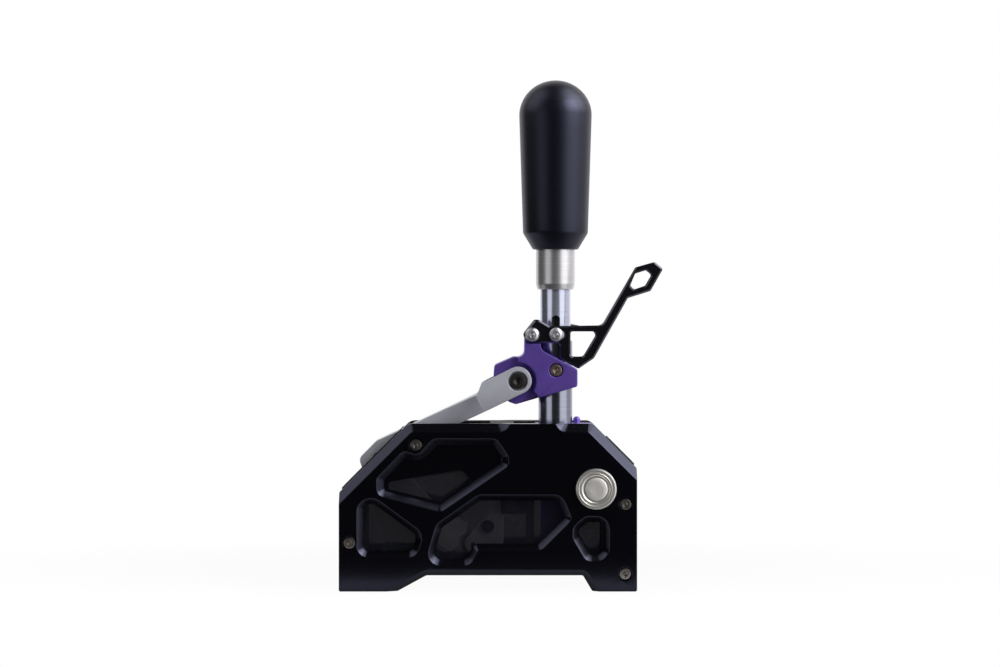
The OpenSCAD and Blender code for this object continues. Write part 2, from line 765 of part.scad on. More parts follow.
// Bracket on the tube. Its outline is measured from the tube axis and the height of the link eye.
bracket_outline = [
    [-21.7, -12.7, 2.5], [11.6, -2.9, 1.5], [11.6, 6.3, 1.5], [-8.1, 17, 4], [-8.9, 30.4, 2],
    [-12.9, 30.4, 1.5], [-17, 25.3, 1.5], [-17.1, 12.7, 3.5], [-22.9, 13.1, 2], [-33.4, 8.5, 2.5],
    [-33.8, 1.9, 2], [-25.9, -11.2, 3.5]
];
eye_pocket_r = 10;
eye_pocket_foot = [[-20.1, -20], [-4.4, -20], [-9.2, -8.8], [-12.4, -5.1], [-20.6, 0]];
lug_clear = 0.3;
ear_w = bracket_w - 2 * lock_t - 0.6;
lock_r = 4.5;
link_bolt_d = 6;
bolt_head_d = 8.6;
bolt_head_h = 2.1;
bolt_sink = 2.4;
fork_out_y = lug_w / 2 + pass_gap + arm_t;

module eye_pocket() {
    translate([lever_x, eye_z]) {
        translate([-eye_dx, 0]) circle(r = eye_pocket_r);
        translate([-reach - eye_dx, -reach]) square([reach + 0.5, reach + 16]);
        polygon(eye_pocket_foot);
    }
}

module link_bracket() {
    lock_low = lock_dz - lock_r - lug_clear;
    color(purple) difference() {
        side(-bracket_w / 2, bracket_w / 2) translate([lever_x, eye_z]) polygon(ring(bracket_outline));
        both_sides() {
            side(-bracket_w, -lug_w / 2) eye_pocket();
            block(lever_x - reach, lever_x + reach, -bracket_w, -ear_w / 2, eye_z + lock_low, eye_z + reach);
            left_hole(0, screw_dz, bracket_screw_d + 2 * pass_gap, bracket_w);
            left_hole(0, screw_dz, screw_head_d + 1.4, 2.4);
        }
        translate([lever_x, 0, 0]) cylinder(d = tube_d + 2 * seat_fit, h = 2 * eye_z);
        across(lever_x - eye_dx, eye_z, link_bolt_d / 2 + seat_fit, -bracket_w, bracket_w);
        across(lever_x - lock_dx, eye_z + lock_dz, lock_screw_d / 2 + seat_fit, -bracket_w, bracket_w);
    }
}

// A hole from the left face of the bracket, placed from the tube axis and the eye.
module left_hole(dx, dz, d, depth) {
    across(lever_x + dx, eye_z + dz, d / 2, -bracket_w / 2 - over, -bracket_w / 2 + depth);
}

module bracket_screws() {
    head_y = bracket_w / 2 - 2.4;
    color(bronze) both_sides() left_screw(lever_x, head_y + 2, eye_z + screw_dz, screw_head_d + 0.4, 2,
        bracket_screw_d, head_y - bracket_screw_in);
}

module link_bolts() {
    head_y = fork_out_y - bolt_sink + run_fit;
    color(dark_steel) both_sides() left_screw(lever_x - eye_dx, head_y + bolt_head_h, eye_z, bolt_head_d,
        bolt_head_h, link_bolt_d, 10);
}

// Lockout lever and its partner. The outlines are measured from the pivot.
lock_hand = [
    [-4.5, -4.5, 4.2], [14.8, -4.5, 2.2], [14.8, -13.1, 0.8], [24.8, -18.5, 1.5], [33.3, -12.7, 2.5],
    [51.5, 19.7, 1.5], [63.7, 23.5, 2], [70.5, 35.5, 1.5], [65.9, 39.2, 2], [55.5, 36.3, 2], [37.4, 5, 4],
    [9.3, 4.6, 1.5], [3.5, 8, 1.5], [1.3, 8, 1.5], [-4.5, 0.7, 2]
];
lock_partner = [
    [-4.5, -4.5, 4.2], [19.4, -4.5, 2.5], [20.3, 2.5, 1.5], [26.9, 2.7, 0.8], [26.6, 4.7, 0.8],
    [18, 6.2, 3], [9.3, 4.6, 1.5], [3.5, 8, 1.5], [1.3, 8, 1.5], [-4.5, 0.7, 2]
];
lock_window = [[20.6, -11.8, 1.8], [27.3, -11.8, 2.5], [34.1, -0.3, 1.5], [33, 1.7, 1], [20.6, 1.7, 1.2]];
finger_hole = [
    [54.9, 24.4, 1.2], [60.75, 26.4, 1.2], [64.1, 32.2, 1.2], [61.2, 34.7, 1.2], [55.4, 32.9, 1.2],
    [52.7, 26.4, 1.2]
];
lock_slot_back = 0.5;
lock_slot_on = 2.2;
lock_head_h = 2.2;

module lock_plate_cuts(y0, y1) {
    slot_r = cross_d / 2 + 0.25;
    across(0, 0, lock_screw_d / 2 + run_fit, y0, y1);
    for (x = [lock_dx - lock_slot_back, lock_dx + lock_slot_on]) across(x, 0, slot_r, y0, y1);
    block(lock_dx - lock_slot_back, lock_dx + lock_slot_on, y0, y1, -slot_r, slot_r);
}

module at_lock_pivot() {
    translate([lever_x - lock_dx, 0, eye_z + lock_dz]) children();
}

lock_in_y = ear_w / 2 + 0.3;

module lockout_lever() {
    color(black) at_lock_pivot() difference() {
        side(-lock_in_y - lock_t, -lock_in_y) difference() {
            polygon(ring(lock_hand));
            polygon(ring(lock_window));
            polygon(ring(finger_hole));
        }
        lock_plate_cuts(-bracket_w, 0);
    }
}

module lockout_partner() {
    color(black) at_lock_pivot() difference() {
        side(lock_in_y, lock_in_y + lock_t) polygon(ring(lock_partner));
        lock_plate_cuts(0, bracket_w);
    }
}

module round_head(x, y, z, d, h) {
    facing_left(x, y, z) difference() {
        rotate_extrude() polygon([
            [0, 0], [d / 2, 0], [d / 2, h * 0.35], [d / 2 * 0.85, h * 0.75], [d / 2 * 0.55, h], [0, h]
        ]);
        translate([0, 0, h * 0.4]) cylinder(d = d * 0.42, h = h, $fn = 6);
    }
}

lock_out_y = lock_in_y + lock_t + 0.1;

module lockout_pivot_screws() {
    x = lever_x - lock_dx;
    z = eye_z + lock_dz;
    color(steel) both_sides() union() {
        round_head(x, lock_out_y, z, lock_head_d, lock_head_h);
        across(x, z, lock_screw_d / 2, -lock_out_y, -4);
    }
}

module lockout_cross_pin() {
    z = eye_z + lock_dz;
    color(steel) union() {
        across(lever_x, z, cross_d / 2, -lock_out_y, lock_out_y);
        both_sides() round_head(lever_x, lock_out_y, z, lock_head_d, lock_head_h);
    }
}

module lockout_rod() {
    color(steel) difference() {
        translate([lever_x, 0, rod_z[0]]) cylinder(d = rod_d, h = rod_z[1] - rod_z[0]);
        across(lever_x, eye_z + lock_dz, cross_d / 2 + seat_fit, -rod_d, rod_d);
        across(lever_x, gate_pin_z, gate_pin_d / 2 + seat_fit, -rod_d, rod_d);
    }
}

module gate_pin() {
    color(steel) across(lever_x, gate_pin_z, gate_pin_d / 2, -rod_d / 2 + 0.6, in_y - 0.8);
}

// Gate plate on the inside of the right side plate
gate_t = 2.8;
gate_half = 14;
gate_high = 14;
gate_swing = 4.6;
gate_wide = 9.5;
gate_lift = 8;
gate_step = 3;
gate_screw_x = [-11.2, 11.2];
gate_screw_d = 2.5;
gate_screw_gap = 1.75;
gate_screw_z = middle_top + pane_lap + gate_screw_d / 2 + gate_screw_gap;
gate_edge = 3.1;
gate_z = [gate_screw_z - gate_edge, gate_pin_z + gate_high];
gate_screw_in = 4.6;

module lockout_gate() {
    low = gate_pin_z - gate_pin_d / 2 - pass_gap;
    high = gate_pin_z + gate_lift;
    reach_low = gate_pin_d / 2 + gate_swing;
    color(silver) difference() {
        block(lever_x - gate_half, lever_x + gate_half, in_y - gate_t, in_y, gate_z[0], gate_z[1]);
        block(lever_x - reach_low, lever_x + reach_low, 0, in_y + over, low, high);
        block(lever_x - gate_wide, lever_x + gate_wide, 0, in_y + over, gate_pin_z + gate_step, high);
        for (dx = gate_screw_x) {
            across(lever_x + dx, gate_screw_z, gate_screw_d / 2 + seat_fit, 0, in_y + over);
            across(lever_x + dx, gate_screw_z, small_head_d / 2 + 0.2, 0, in_y - gate_t + small_head_h);
        }
    }
}

module gate_screws() {
    color(steel) mirror([0, 1, 0]) for (dx = gate_screw_x)
        translate([lever_x + dx, -in_y + gate_t, gate_screw_z]) rotate([-90, 0, 0])
            cap_screw(small_head_d, small_head_h, gate_screw_d, gate_t - small_head_h + gate_screw_in);
}

// Springs: a tube swept along a coil, with both ends straight
coil_rings = 8;
coil_sides = 6;
function coil_axis(r, wire, length, curls) =
    let (steps = curls * coil_rings, run = length - 2 * wire)
    concat([[r, 0, 0]],
        [for (i = [0:steps]) let (turn = 360 * i / coil_rings)
            [r * cos(turn), r * sin(turn), wire + run * i / steps]],
        [[r * cos(360 * curls), r * sin(360 * curls), length]]);
function coil_gap(axis, wire) =
    min([for (i = [0:len(axis) - 1]) for (j = [i + 5:1:len(axis) - 1]) norm(axis[i] - axis[j])]) - wire;
function coil_ring(axis, i, wire) =
    let (a = axis[max(i - 1, 0)], b = axis[min(i + 1, len(axis) - 1)], c = axis[i])
    let (ends = i == 0 || i == len(axis) - 1, along = ends ? [0, 0, 1] : unit(b - a))
    let (out = unit([c[0], c[1], 0]), up = cross(along, out))
    [for (k = [0:coil_sides - 1])
        let (t = 360 * k / coil_sides) c + wire / 2 * (cos(t) * out + sin(t) * up)];

module coil(r, wire, length, curls) {
    axis = coil_axis(r, wire, length, curls);
    echo(coil_gap_mm = coil_gap(axis, wire));
    lofted([for (i = [0:len(axis) - 1]) coil_ring(axis, i, wire)]);
}

seat_gap = 0.05;
detent_wire = 1.6;
detent_coil_r = 5;
detent_curls = 4;
lock_wire = 1.1;
lock_coil_r = 3.6;
lock_curls = 4;

module detent_spring() {
    length = post_x[0] - pad_x - 2 * seat_gap;
    color(steel) translate([pad_x + seat_gap, 0, spring_z]) rotate([0, 90, 0])
        coil(detent_coil_r, detent_wire, length, detent_curls);
}

module lockout_spring() {
    length = spring_top_z - rod_z[1] - 2 * seat_gap;
    color(steel) translate([lever_x, 0, rod_z[1] + seat_gap])
        coil(lock_coil_r, lock_wire, length, lock_curls);
}

// Fork link, drawn along the line from its eye to its front pivot
eye = [lever_x - eye_dx, eye_z];
link_run = [pin_x, pin_z] - eye;
link_l = norm(link_run);
link_angle = atan2(link_run[1], link_run[0]);
link_outline = [
    [-eye_r, -eye_r, eye_r * 0.95], [17.8, -8.3, 2.5], [22.6, -4.2, 2.5], [link_l - 3.6, -8.2, 3],
    [link_l + 9.2, -4.4, 4], [link_l + 10.4, 3, 4], [link_l + 2.5, 8.6, 5], [link_l - 7, 8, 4],
    [link_l - 14.5, 3.4, 5], [-eye_r, eye_r, eye_r * 0.95]
];
taper_p = [24, 41];
fork_p = [15, 20.5];
tip_w = 8;
tip_r = 6;
tip_slot = [[-6, -2], [6.9, -2], [8.2, 20], [-30, 20]];
pivot_slack = 0.75;

module along_link() {
    translate([eye[0], 0, eye[1]]) rotate([0, -link_angle, 0]) children();
}

module push_link() {
    y1 = fork_out_y;
    y0 = bar_w / 2;
    far_end = link_l + 20;
    flank = [
        [taper_p[0], -y1], [taper_p[0], -y1 - over], [far_end, -y1 - over], [far_end, -y0], [taper_p[1], -y0]
    ];
    mouth = [[-21, -y1 + arm_t], [fork_p[0], -y1 + arm_t], [fork_p[1], -y0 + 3], [fork_p[1], y0 - 3],
        [fork_p[0], y1 - arm_t], [-21, y1 - arm_t]];
    color(silver) along_link() difference() {
        side(-y1, y1) polygon(ring(link_outline));
        both_sides() translate([0, 0, -reach]) linear_extrude(2 * reach) polygon(flank);
        translate([0, 0, -reach]) linear_extrude(2 * reach) polygon(mouth);
        across(0, 0, link_bolt_d / 2 + run_fit, -y1 - over, y1 + over);
        both_sides() across(0, 0, bolt_head_d / 2 + 0.9, -y1 - over, -y1 + bolt_sink);
        across(link_l, 0, pin_d / 2 + seat_fit, -y0 - over, y0 + over);
        across(link_l, 0, tip_r + 0.6, -tip_w / 2 - pass_gap, tip_w / 2 + pass_gap);
        side(-tip_w / 2 - pass_gap, tip_w / 2 + pass_gap) translate([link_l, 0])
            polygon(tip_slot);
    }
}

module link_pin() {
    color(steel) across(pin_x, pin_z, pin_d / 2, -bar_w / 2, bar_w / 2);
}

// Rocker: a hub, an arm to the link and a cam
rocker_run = [pin_x - rocker_x, pin_z - rocker_z];
rocker_l = norm(rocker_run);
rocker_angle = atan2(rocker_run[1], rocker_run[0]);
rocker_hub_r = 8.6;
root_r = 7.6;
rocker_hub_w = 27.2;
cam_w = 12;
cam_half = 27;
notch_r = 5;
notch_depth = 1.3;
roller_gap = 0.35;
roller_place = [rocker_x, rocker_z] + (cam_r + roller_r + roller_gap) * [cos(cam_dir), -sin(cam_dir)];

module rocker() {
    rim = [for (i = [0:12]) let (a = cam_half * (i / 6 - 1)) cam_r * [cos(a), sin(a)]];
    color(silver) translate([rocker_x, 0, rocker_z]) difference() {
        union() {
            across(0, 0, rocker_hub_r, -rocker_hub_w / 2, rocker_hub_w / 2);
            rotate([0, -rocker_angle, 0]) {
                side(-tip_w / 2, tip_w / 2)
                    polygon([[0, -root_r], [rocker_l, -tip_r], [rocker_l, tip_r], [0, root_r]]);
                across(rocker_l, 0, tip_r, -tip_w / 2, tip_w / 2);
            }
            rotate([0, cam_dir, 0]) side(-cam_w / 2, cam_w / 2)
                polygon(concat([[0, -root_r]], rim, [[0, root_r]]));
        }
        rotate([0, cam_dir, 0]) across(cam_r + notch_r - notch_depth, 0, notch_r, -cam_w, cam_w);
        rotate([0, -rocker_angle, 0]) across(rocker_l, 0, pin_d / 2 + pivot_slack, -tip_w, tip_w);
        across(0, 0, rocker_axle_d / 2 + bush_wall + seat_fit, -rocker_hub_w, rocker_hub_w);
    }
}

module rocker_bushes() {
    color(bronze) bush_pair(rocker_x, rocker_z, rocker_axle_d, rocker_hub_w);
}

module rocker_axle() {
    color(steel) across(rocker_x, rocker_z, rocker_axle_d / 2, -axle_end_y, axle_end_y);
}

// Detent: a roller on an arm that a spring holds against the cam
arm_pivot = [12.5, 45.3];
arm_axle_d = 5;
arm_w = 15;
roller_w = 8.4;
roller_pin_d = 3;
roller_side = 0.3;
roller_room = 0.5;
pad_x = 8.5;
spring_z = 31;
bolt_place = [-0.1, 33.6];
bolt_d = 4;
bolt_face_d = 6.8;
bolt_face_h = 1.8;
arm_outline = [
    [roller_place[0] - 4.2, roller_place[1] - 4.2, 4.1], [roller_place[0] + 4.2, roller_place[1] - 4.6, 4],
    [pad_x, arm_pivot[1] - 20.8, 2], [pad_x, arm_pivot[1] - 5.5, 2],
    [arm_pivot[0] + 5.5, arm_pivot[1] - 4.6, 4.3], [arm_pivot[0] + 5, arm_pivot[1] + 5.2, 4.5],
    [arm_pivot[0] - 5.5, arm_pivot[1] + 5.2, 4.5],
    [roller_place[0] - 4.2, roller_place[1] + 2.6, 3]
];
post_x = [20.5, 25];
post_w = 22;
cheek_in_y = arm_w / 2 + pass_gap;
cheek_x = 7;
cheek_z = [40.6, 51.5];

module detent_arm() {
    fork_half = roller_w / 2 + roller_side;
    color(silver) difference() {
        side(-arm_w / 2, arm_w / 2) polygon(ring(arm_outline));
        across(roller_place[0], roller_place[1], roller_r + roller_room, -fork_half, fork_half);
        across(roller_place[0], roller_place[1], roller_pin_d / 2 + seat_fit, -arm_w, arm_w);
        across(arm_pivot[0], arm_pivot[1], arm_axle_d / 2 + run_fit, -arm_w, arm_w);
        across(bolt_place[0], bolt_place[1], bolt_d / 2 + seat_fit, -arm_w, arm_w);
    }
}

module detent_arm_bolt() {
    color(dark_steel) both_sides() left_screw(bolt_place[0], arm_w / 2 + bolt_face_h, bolt_place[1],
        bolt_face_d, bolt_face_h, bolt_d, arm_w / 2 - 0.1);
}

module roller_pin() {
    color(steel) across(roller_place[0], roller_place[1], roller_pin_d / 2, -arm_w / 2, arm_w / 2);
}

module detent_roller() {
    color(dark_steel) difference() {
        across(roller_place[0], roller_place[1], roller_r, -roller_w / 2, roller_w / 2);
        across(roller_place[0], roller_place[1], roller_pin_d / 2 + run_fit, -roller_w, roller_w);
    }
}

module detent_axle() {
    color(steel) across(arm_pivot[0], arm_pivot[1], arm_axle_d / 2, -post_w / 2 - 0.6, post_w / 2 + 0.6);
}

module detent_bracket() {
    foot_z = arch_h + bottom_t;
    color(silver) difference() {
        union() {
            block(post_x[0], post_x[1], -post_w / 2, post_w / 2, foot_z, cheek_z[1]);
            both_sides() block(cheek_x, post_x[1], -post_w / 2, -cheek_in_y, cheek_z[0], cheek_z[1]);
        }
        across(arm_pivot[0], arm_pivot[1], arm_axle_d / 2 + seat_fit, -post_w, post_w);
    }
}

// Electronics
board_in = 22;
board_l = 18;
board_x = [board_in - half_len, board_in + board_l - half_len];
board_half = 12;
board_z = 21;
board_t = 1.6;
standoff_d = 5;
standoff_in = 3;
standoff_x = [board_x[0] + standoff_in, board_x[1] - standoff_in];
standoff_y = 9;
chip_x = [6, 13];
chip_half = 3.5;
chip_h = 1.2;
plug_x = [2, 4.5];
plug_y = [-9, 2];
plug_h = 2;
sensor_x = [-9, 12];
sensor_half = 5;
sensor_chip = [2, 1.6];
sensor_chip_h = 0.9;
usb_outline = [[-4.5, -1.6, 1.5], [4.5, -1.6, 1.5], [4.5, 1.6, 1.5], [-4.5, 1.6, 1.5]];
usb_z = 27;
usb_depth = 8;
usb_tongue = [6.6, 0.8];

module usb_place() {
    translate([half_len - end_gap, 0, usb_z]) rotate([90, 0, 90]) children();
}

module controller_board() {
    top = board_z + board_t;
    color(board_green) union() {
        block(board_x[0], board_x[1], -board_half, board_half, board_z, top);
        block(board_x[0] + chip_x[0], board_x[0] + chip_x[1], -chip_half, chip_half, top, top + chip_h);
        block(board_x[0] + plug_x[0], board_x[0] + plug_x[1], plug_y[0], plug_y[1], top, top + plug_h);
    }
}

module board_standoffs() {
    foot_z = arch_h + bottom_t;
    color(bronze) for (x = standoff_x, j = [-1, 1]) translate([x, j * standoff_y, foot_z])
        cylinder(d = standoff_d, h = board_z - foot_z, $fn = 6);
}

module sensor_board() {
    z = magnet_place[1];
    x = lever_x + magnet_place[0];
    color(board_green) union() {
        block(x + sensor_x[0], x + sensor_x[1], in_y - board_t, in_y, z - sensor_half, z + sensor_half);
        block(x - sensor_chip[0], x + sensor_chip[0], in_y - board_t - sensor_chip_h, in_y - board_t,
            z - sensor_chip[1], z + sensor_chip[1]);
    }
}

module usb_socket() {
    shell_t = 0.4;
    color(steel) usb_place() translate([0, 0, -usb_depth]) difference() {
        linear_extrude(usb_depth) polygon(ring(usb_outline));
        translate([0, 0, 1]) linear_extrude(usb_depth) difference() {
            polygon(ring(usb_outline, -shell_t));
            square(usb_tongue, center = true);
        }
    }
}

left_side_plate();
right_side_plate();
left_windows();
right_windows();
front_block();
rear_block();
bottom_plate();
bottom_screws();
top_cover();
front_cover();
rear_cover();
rear_cover_screws();
side_plate_screws();
lever_axle();
rocker_axle();
detent_bracket();
detent_axle();
detent_spring();
lockout_gate();
gate_screws();
controller_board();
board_standoffs();
sensor_board();
usb_socket();
button_housing();
button_nut();
button_cap();
lever_socket();
lever_bushes();
socket_grub_screws();
sensor_magnet();
lever_tube();
knob_adapter();
gear_knob();
link_bracket();
bracket_screws();
link_bolts();
lockout_pivot_screws();
lockout_lever();
lockout_partner();
lockout_rod();
lockout_cross_pin();
gate_pin();
lockout_spring();
push_link();
link_pin();
rocker();
rocker_bushes();
detent_arm();
detent_arm_bolt();
roller_pin();
detent_roller();
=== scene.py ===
import json
import math

import bmesh
import bpy
from mathutils import Matrix, Vector


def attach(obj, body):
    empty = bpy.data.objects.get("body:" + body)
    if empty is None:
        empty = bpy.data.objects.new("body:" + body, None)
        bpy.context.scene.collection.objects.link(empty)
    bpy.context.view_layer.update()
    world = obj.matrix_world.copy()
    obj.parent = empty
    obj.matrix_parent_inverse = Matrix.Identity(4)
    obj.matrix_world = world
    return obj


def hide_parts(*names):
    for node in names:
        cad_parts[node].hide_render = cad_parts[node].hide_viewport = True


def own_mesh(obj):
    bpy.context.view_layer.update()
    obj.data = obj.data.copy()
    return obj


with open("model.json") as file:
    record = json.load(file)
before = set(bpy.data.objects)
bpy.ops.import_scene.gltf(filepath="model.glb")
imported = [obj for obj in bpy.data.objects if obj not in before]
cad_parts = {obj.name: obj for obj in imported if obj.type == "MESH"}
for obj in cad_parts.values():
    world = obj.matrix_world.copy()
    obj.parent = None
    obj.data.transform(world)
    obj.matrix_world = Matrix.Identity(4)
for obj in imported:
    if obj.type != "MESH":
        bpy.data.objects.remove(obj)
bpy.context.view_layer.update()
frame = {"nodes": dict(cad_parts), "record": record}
scene = bpy.context.scene
scene.view_settings.view_transform = "Standard"
mm = 0.001
leverX = 36.7  # the lever's axis, in millimetres
print("frame loaded with", len(frame["nodes"]), "nodes")


# puts a camera or a lamp in the scene, looking at a point
def addAimed(name, data, place, target):
    thing = bpy.data.objects.new(name, data)
    scene.collection.objects.link(thing)
    thing.location = place
    thing.rotation_euler = (Vector(target) - Vector(place)).to_track_quat("-Z", "Y").to_euler()
    return thing


# a long lens, almost level with the lever bracket; places in millimetres
cameraSetup = {"place": (6.47, -1223, 151), "target": (6.47, -23, 138.4), "lens": 80.7, "sensor": 36}


def addCamera(setup):
    data = bpy.data.cameras.new("productCamera")
    data.sensor_fit = "HORIZONTAL"
    data.sensor_width = setup["sensor"]
    data.lens = setup["lens"]
    scene.camera = addAimed("productCamera", data, Vector(setup["place"]) * mm, Vector(setup["target"]) * mm)


addCamera(cameraSetup)


def mathNode(tree, kind, first, second=None):
    node = tree.nodes.new("ShaderNodeMath")
    node.operation = kind
    for slot, value in enumerate((first, second)):
        if value is None:
            continue
        if isinstance(value, (int, float)):
            node.inputs[slot].default_value = value
        else:
            tree.links.new(value, node.inputs[slot])
    return node.outputs[0]


# takes a value from one span to another, and holds it at the ends
def rampNode(tree, source, span, levels=(0.0, 1.0), curve="LINEAR"):
    node = tree.nodes.new("ShaderNodeMapRange")
    node.interpolation_type = curve
    node.inputs["From Min"].default_value, node.inputs["From Max"].default_value = span
    node.inputs["To Min"].default_value, node.inputs["To Max"].default_value = levels
    tree.links.new(source, node.inputs["Value"])
    return node.outputs[0]


# white behind the object, a bright wall on the right, a low bright band on the left and a dark camera side
# spans are in parts of the view direction, from where a wall fades in to where it is full
roomSetup = {
    "dark": 0.03,
    "back": (0.5, 0.7),
    "ceiling": (0.6, 0.85),
    "ground": (-0.7, -0.35),
    "right": (0.42, 0.58), "rightLevel": 1.25, "rightEnd": (0.05, 0.3), "sideWall": 0.45,
    "left": (0.42, 0.52), "leftLevel": 1.3, "leftEnd": (0.4, 0.52),
    "leftTop": (0.06, 0.16), "leftFoot": (-0.16, -0.06),
}


def addRoom(setup):
    world = bpy.data.worlds.new("studioRoom")
    scene.world = world
    world.use_nodes = True
    tree = world.node_tree
    nodes, links = tree.nodes, tree.links
    nodes.clear()
    coord = nodes.new("ShaderNodeTexCoord")
    split = nodes.new("ShaderNodeSeparateXYZ")
    links.new(coord.outputs["Generated"], split.inputs[0])
    rightward, backward, upward = (split.outputs[axis] for axis in "XYZ")
    leftward = mathNode(tree, "MULTIPLY", rightward, -1.0)
    forward = mathNode(tree, "MULTIPLY", backward, -1.0)

    def ramp(source, label, level=1.0):
        return rampNode(tree, source, setup[label], (0.0, level), "SMOOTHSTEP")

    def product(first, *others):
        for other in others:
            first = mathNode(tree, "MULTIPLY", first, other)
        return first

    underCeiling = mathNode(tree, "SUBTRACT", 1.0, ramp(upward, "ceiling"))
    nearCamera = mathNode(tree, "ADD", ramp(forward, "rightEnd", 1.0 - setup["sideWall"]), setup["sideWall"])
    right = product(ramp(rightward, "right", setup["rightLevel"]), underCeiling, nearCamera)
    underTop = mathNode(tree, "SUBTRACT", 1.0, ramp(upward, "leftTop"))
    left = product(ramp(leftward, "left", setup["leftLevel"]), ramp(forward, "leftEnd"), underTop,
                   ramp(upward, "leftFoot"))
    overGround = ramp(upward, "ground")
    back = product(ramp(backward, "back"), overGround)
    sides = product(mathNode(tree, "MAXIMUM", left, right), overGround)
    walls = mathNode(tree, "MAXIMUM", sides, back)
    room = nodes.new("ShaderNodeBackground")
    links.new(mathNode(tree, "ADD", walls, setup["dark"]), room.inputs["Color"])
    white = nodes.new("ShaderNodeBackground")
    white.inputs["Color"].default_value = (1, 1, 1, 1)
    path = nodes.new("ShaderNodeLightPath")
    seen = mathNode(tree, "MAXIMUM", path.outputs["Is Camera Ray"], path.outputs["Is Transmission Ray"])
    mirrored = product(path.outputs["Is Glossy Ray"], back)  # metal shows the white behind it too
    mix = nodes.new("ShaderNodeMixShader")
    links.new(mathNode(tree, "MAXIMUM", seen, mirrored), mix.inputs[0])
    links.new(room.outputs[0], mix.inputs[1])
    links.new(white.outputs[0], mix.inputs[2])
    out = nodes.new("ShaderNodeOutputWorld")
    links.new(mix.outputs[0], out.inputs[0])


addRoom(roomSetup)

# soft boxes: where they hang, their size in metres and their power in watts
lampTarget = (0.0, 0.0, 0.13)
lampSetup = {
    "rightBox": {"place": (0.95, -0.05, 1.08), "size": (1.0, 1.4), "power": 13.0},
    "leftBox": {"place": (-0.95, -0.05, 1.08), "size": (1.0, 1.4), "power": 5.0},
    "rightFrontBox": {"place": (0.95, -0.63, 0.88), "size": (0.8, 0.8), "power": 11.0},
    "leftFrontBox": {"place": (-0.95, -0.63, 0.88), "size": (0.8, 0.8), "power": 0.8},
}


def addLamp(name, setup):
    data = bpy.data.lights.new(name, "AREA")
    data.shape = "RECTANGLE"
    data.size, data.size_y = setup["size"]
    data.energy = setup["power"]
    addAimed(name, data, setup["place"], lampTarget)


for lampName, lampValues in lampSetup.items():
    addLamp(lampName, lampValues)
print("camera, room and lamps ready")


def newGroup(name, inputs):
    group = bpy.data.node_groups.new(name, "ShaderNodeTree")
    for label, kind, value in inputs:
        socket = group.interface.new_socket(label, in_out="INPUT", socket_type=kind)
        socket.default_value = value
    for label in ("Shade", "Gloss", "Height"):
        group.interface.new_socket(label, in_out="OUTPUT", socket_type="NodeSocketFloat")
    return group, group.nodes.new("NodeGroupInput"), group.nodes.new("NodeGroupOutput")


# the shade and the gloss follow one mask, between the group's low and high gloss
def linkOutputs(group, given, made, mask, height, setup):
    spread = mathNode(group, "SUBTRACT", given.outputs["High"], given.outputs["Low"])
    gloss = mathNode(group, "ADD", mathNode(group, "MULTIPLY", spread, mask), given.outputs["Low"])
    shade = mathNode(group, "ADD", mathNode(group, "MULTIPLY", mask, setup["shadeSpan"]), setup["shadeLow"])
    for label, value in (("Shade", shade), ("Gloss", gloss), ("Height", height)):
        group.links.new(value, made.inputs[label])


# blasted and anodised skin: fine pits, and slow clouds in the gloss
skinMix = {"pits": 0.4, "pitDetail": 3.0, "clouds": 0.6, "cloudDetail": 4.0,
           "shadeSpan": 0.5, "shadeLow": 0.75}


def makeSkinGroup(setup):
    group, given, made = newGroup(
        "anodisedSkin",
        [("Pit Scale", "NodeSocketFloat", 2600.0), ("Cloud Scale", "NodeSocketFloat", 45.0),
         ("Low", "NodeSocketFloat", 0.3), ("High", "NodeSocketFloat", 0.4)],
    )
    coord = group.nodes.new("ShaderNodeTexCoord")
    pits = group.nodes.new("ShaderNodeTexNoise")
    clouds = group.nodes.new("ShaderNodeTexNoise")
    pits.inputs["Detail"].default_value = setup["pitDetail"]
    clouds.inputs["Detail"].default_value = setup["cloudDetail"]
    for node, label in ((pits, "Pit Scale"), (clouds, "Cloud Scale")):
        group.links.new(coord.outputs["Object"], node.inputs["Vector"])
        group.links.new(given.outputs[label], node.inputs["Scale"])
    slow = mathNode(group, "MULTIPLY", clouds.outputs[0], setup["clouds"])
    fine = mathNode(group, "MULTIPLY", pits.outputs[0], setup["pits"])
    linkOutputs(group, given, made, mathNode(group, "ADD", slow, fine), pits.outputs[0], setup)
    return group


# lines that a lathe tool leaves round an axis; the vector comes with that axis as Z
turnedMix = {"scale": 0.37, "detail": 2.0, "shadeSpan": 0.3, "shadeLow": 0.85}


def makeTurnedGroup(setup):
    group, given, made = newGroup(
        "turnedLines",
        [("Vector", "NodeSocketVector", (0.0, 0.0, 0.0)), ("Pitch", "NodeSocketFloat", 0.0003),
         ("Low", "NodeSocketFloat", 0.15), ("High", "NodeSocketFloat", 0.25)],
    )
    split = group.nodes.new("ShaderNodeSeparateXYZ")
    group.links.new(given.outputs["Vector"], split.inputs[0])
    squares = [mathNode(group, "MULTIPLY", split.outputs[axis], split.outputs[axis]) for axis in "XY"]
    radius = mathNode(group, "SQRT", mathNode(group, "ADD", *squares))
    along = mathNode(group, "ADD", radius, split.outputs["Z"])
    turns = mathNode(group, "DIVIDE", along, given.outputs["Pitch"])
    wave = mathNode(group, "SINE", mathNode(group, "MULTIPLY", turns, 2 * math.pi))
    uneven = group.nodes.new("ShaderNodeTexNoise")
    uneven.noise_dimensions = "1D"
    uneven.inputs["Scale"].default_value = setup["scale"]
    uneven.inputs["Detail"].default_value = setup["detail"]
    group.links.new(turns, uneven.inputs["W"])
    height = mathNode(group, "MULTIPLY", mathNode(group, "ADD", wave, 1.0), uneven.outputs[0])
    linkOutputs(group, given, made, uneven.outputs[0], height, setup)
    return group


skinGroup = makeSkinGroup(skinMix)
turnedGroup = makeTurnedGroup(turnedMix)
colourA, colourB, colourResult = 6, 7, 2  # the colour sockets of a Mix node


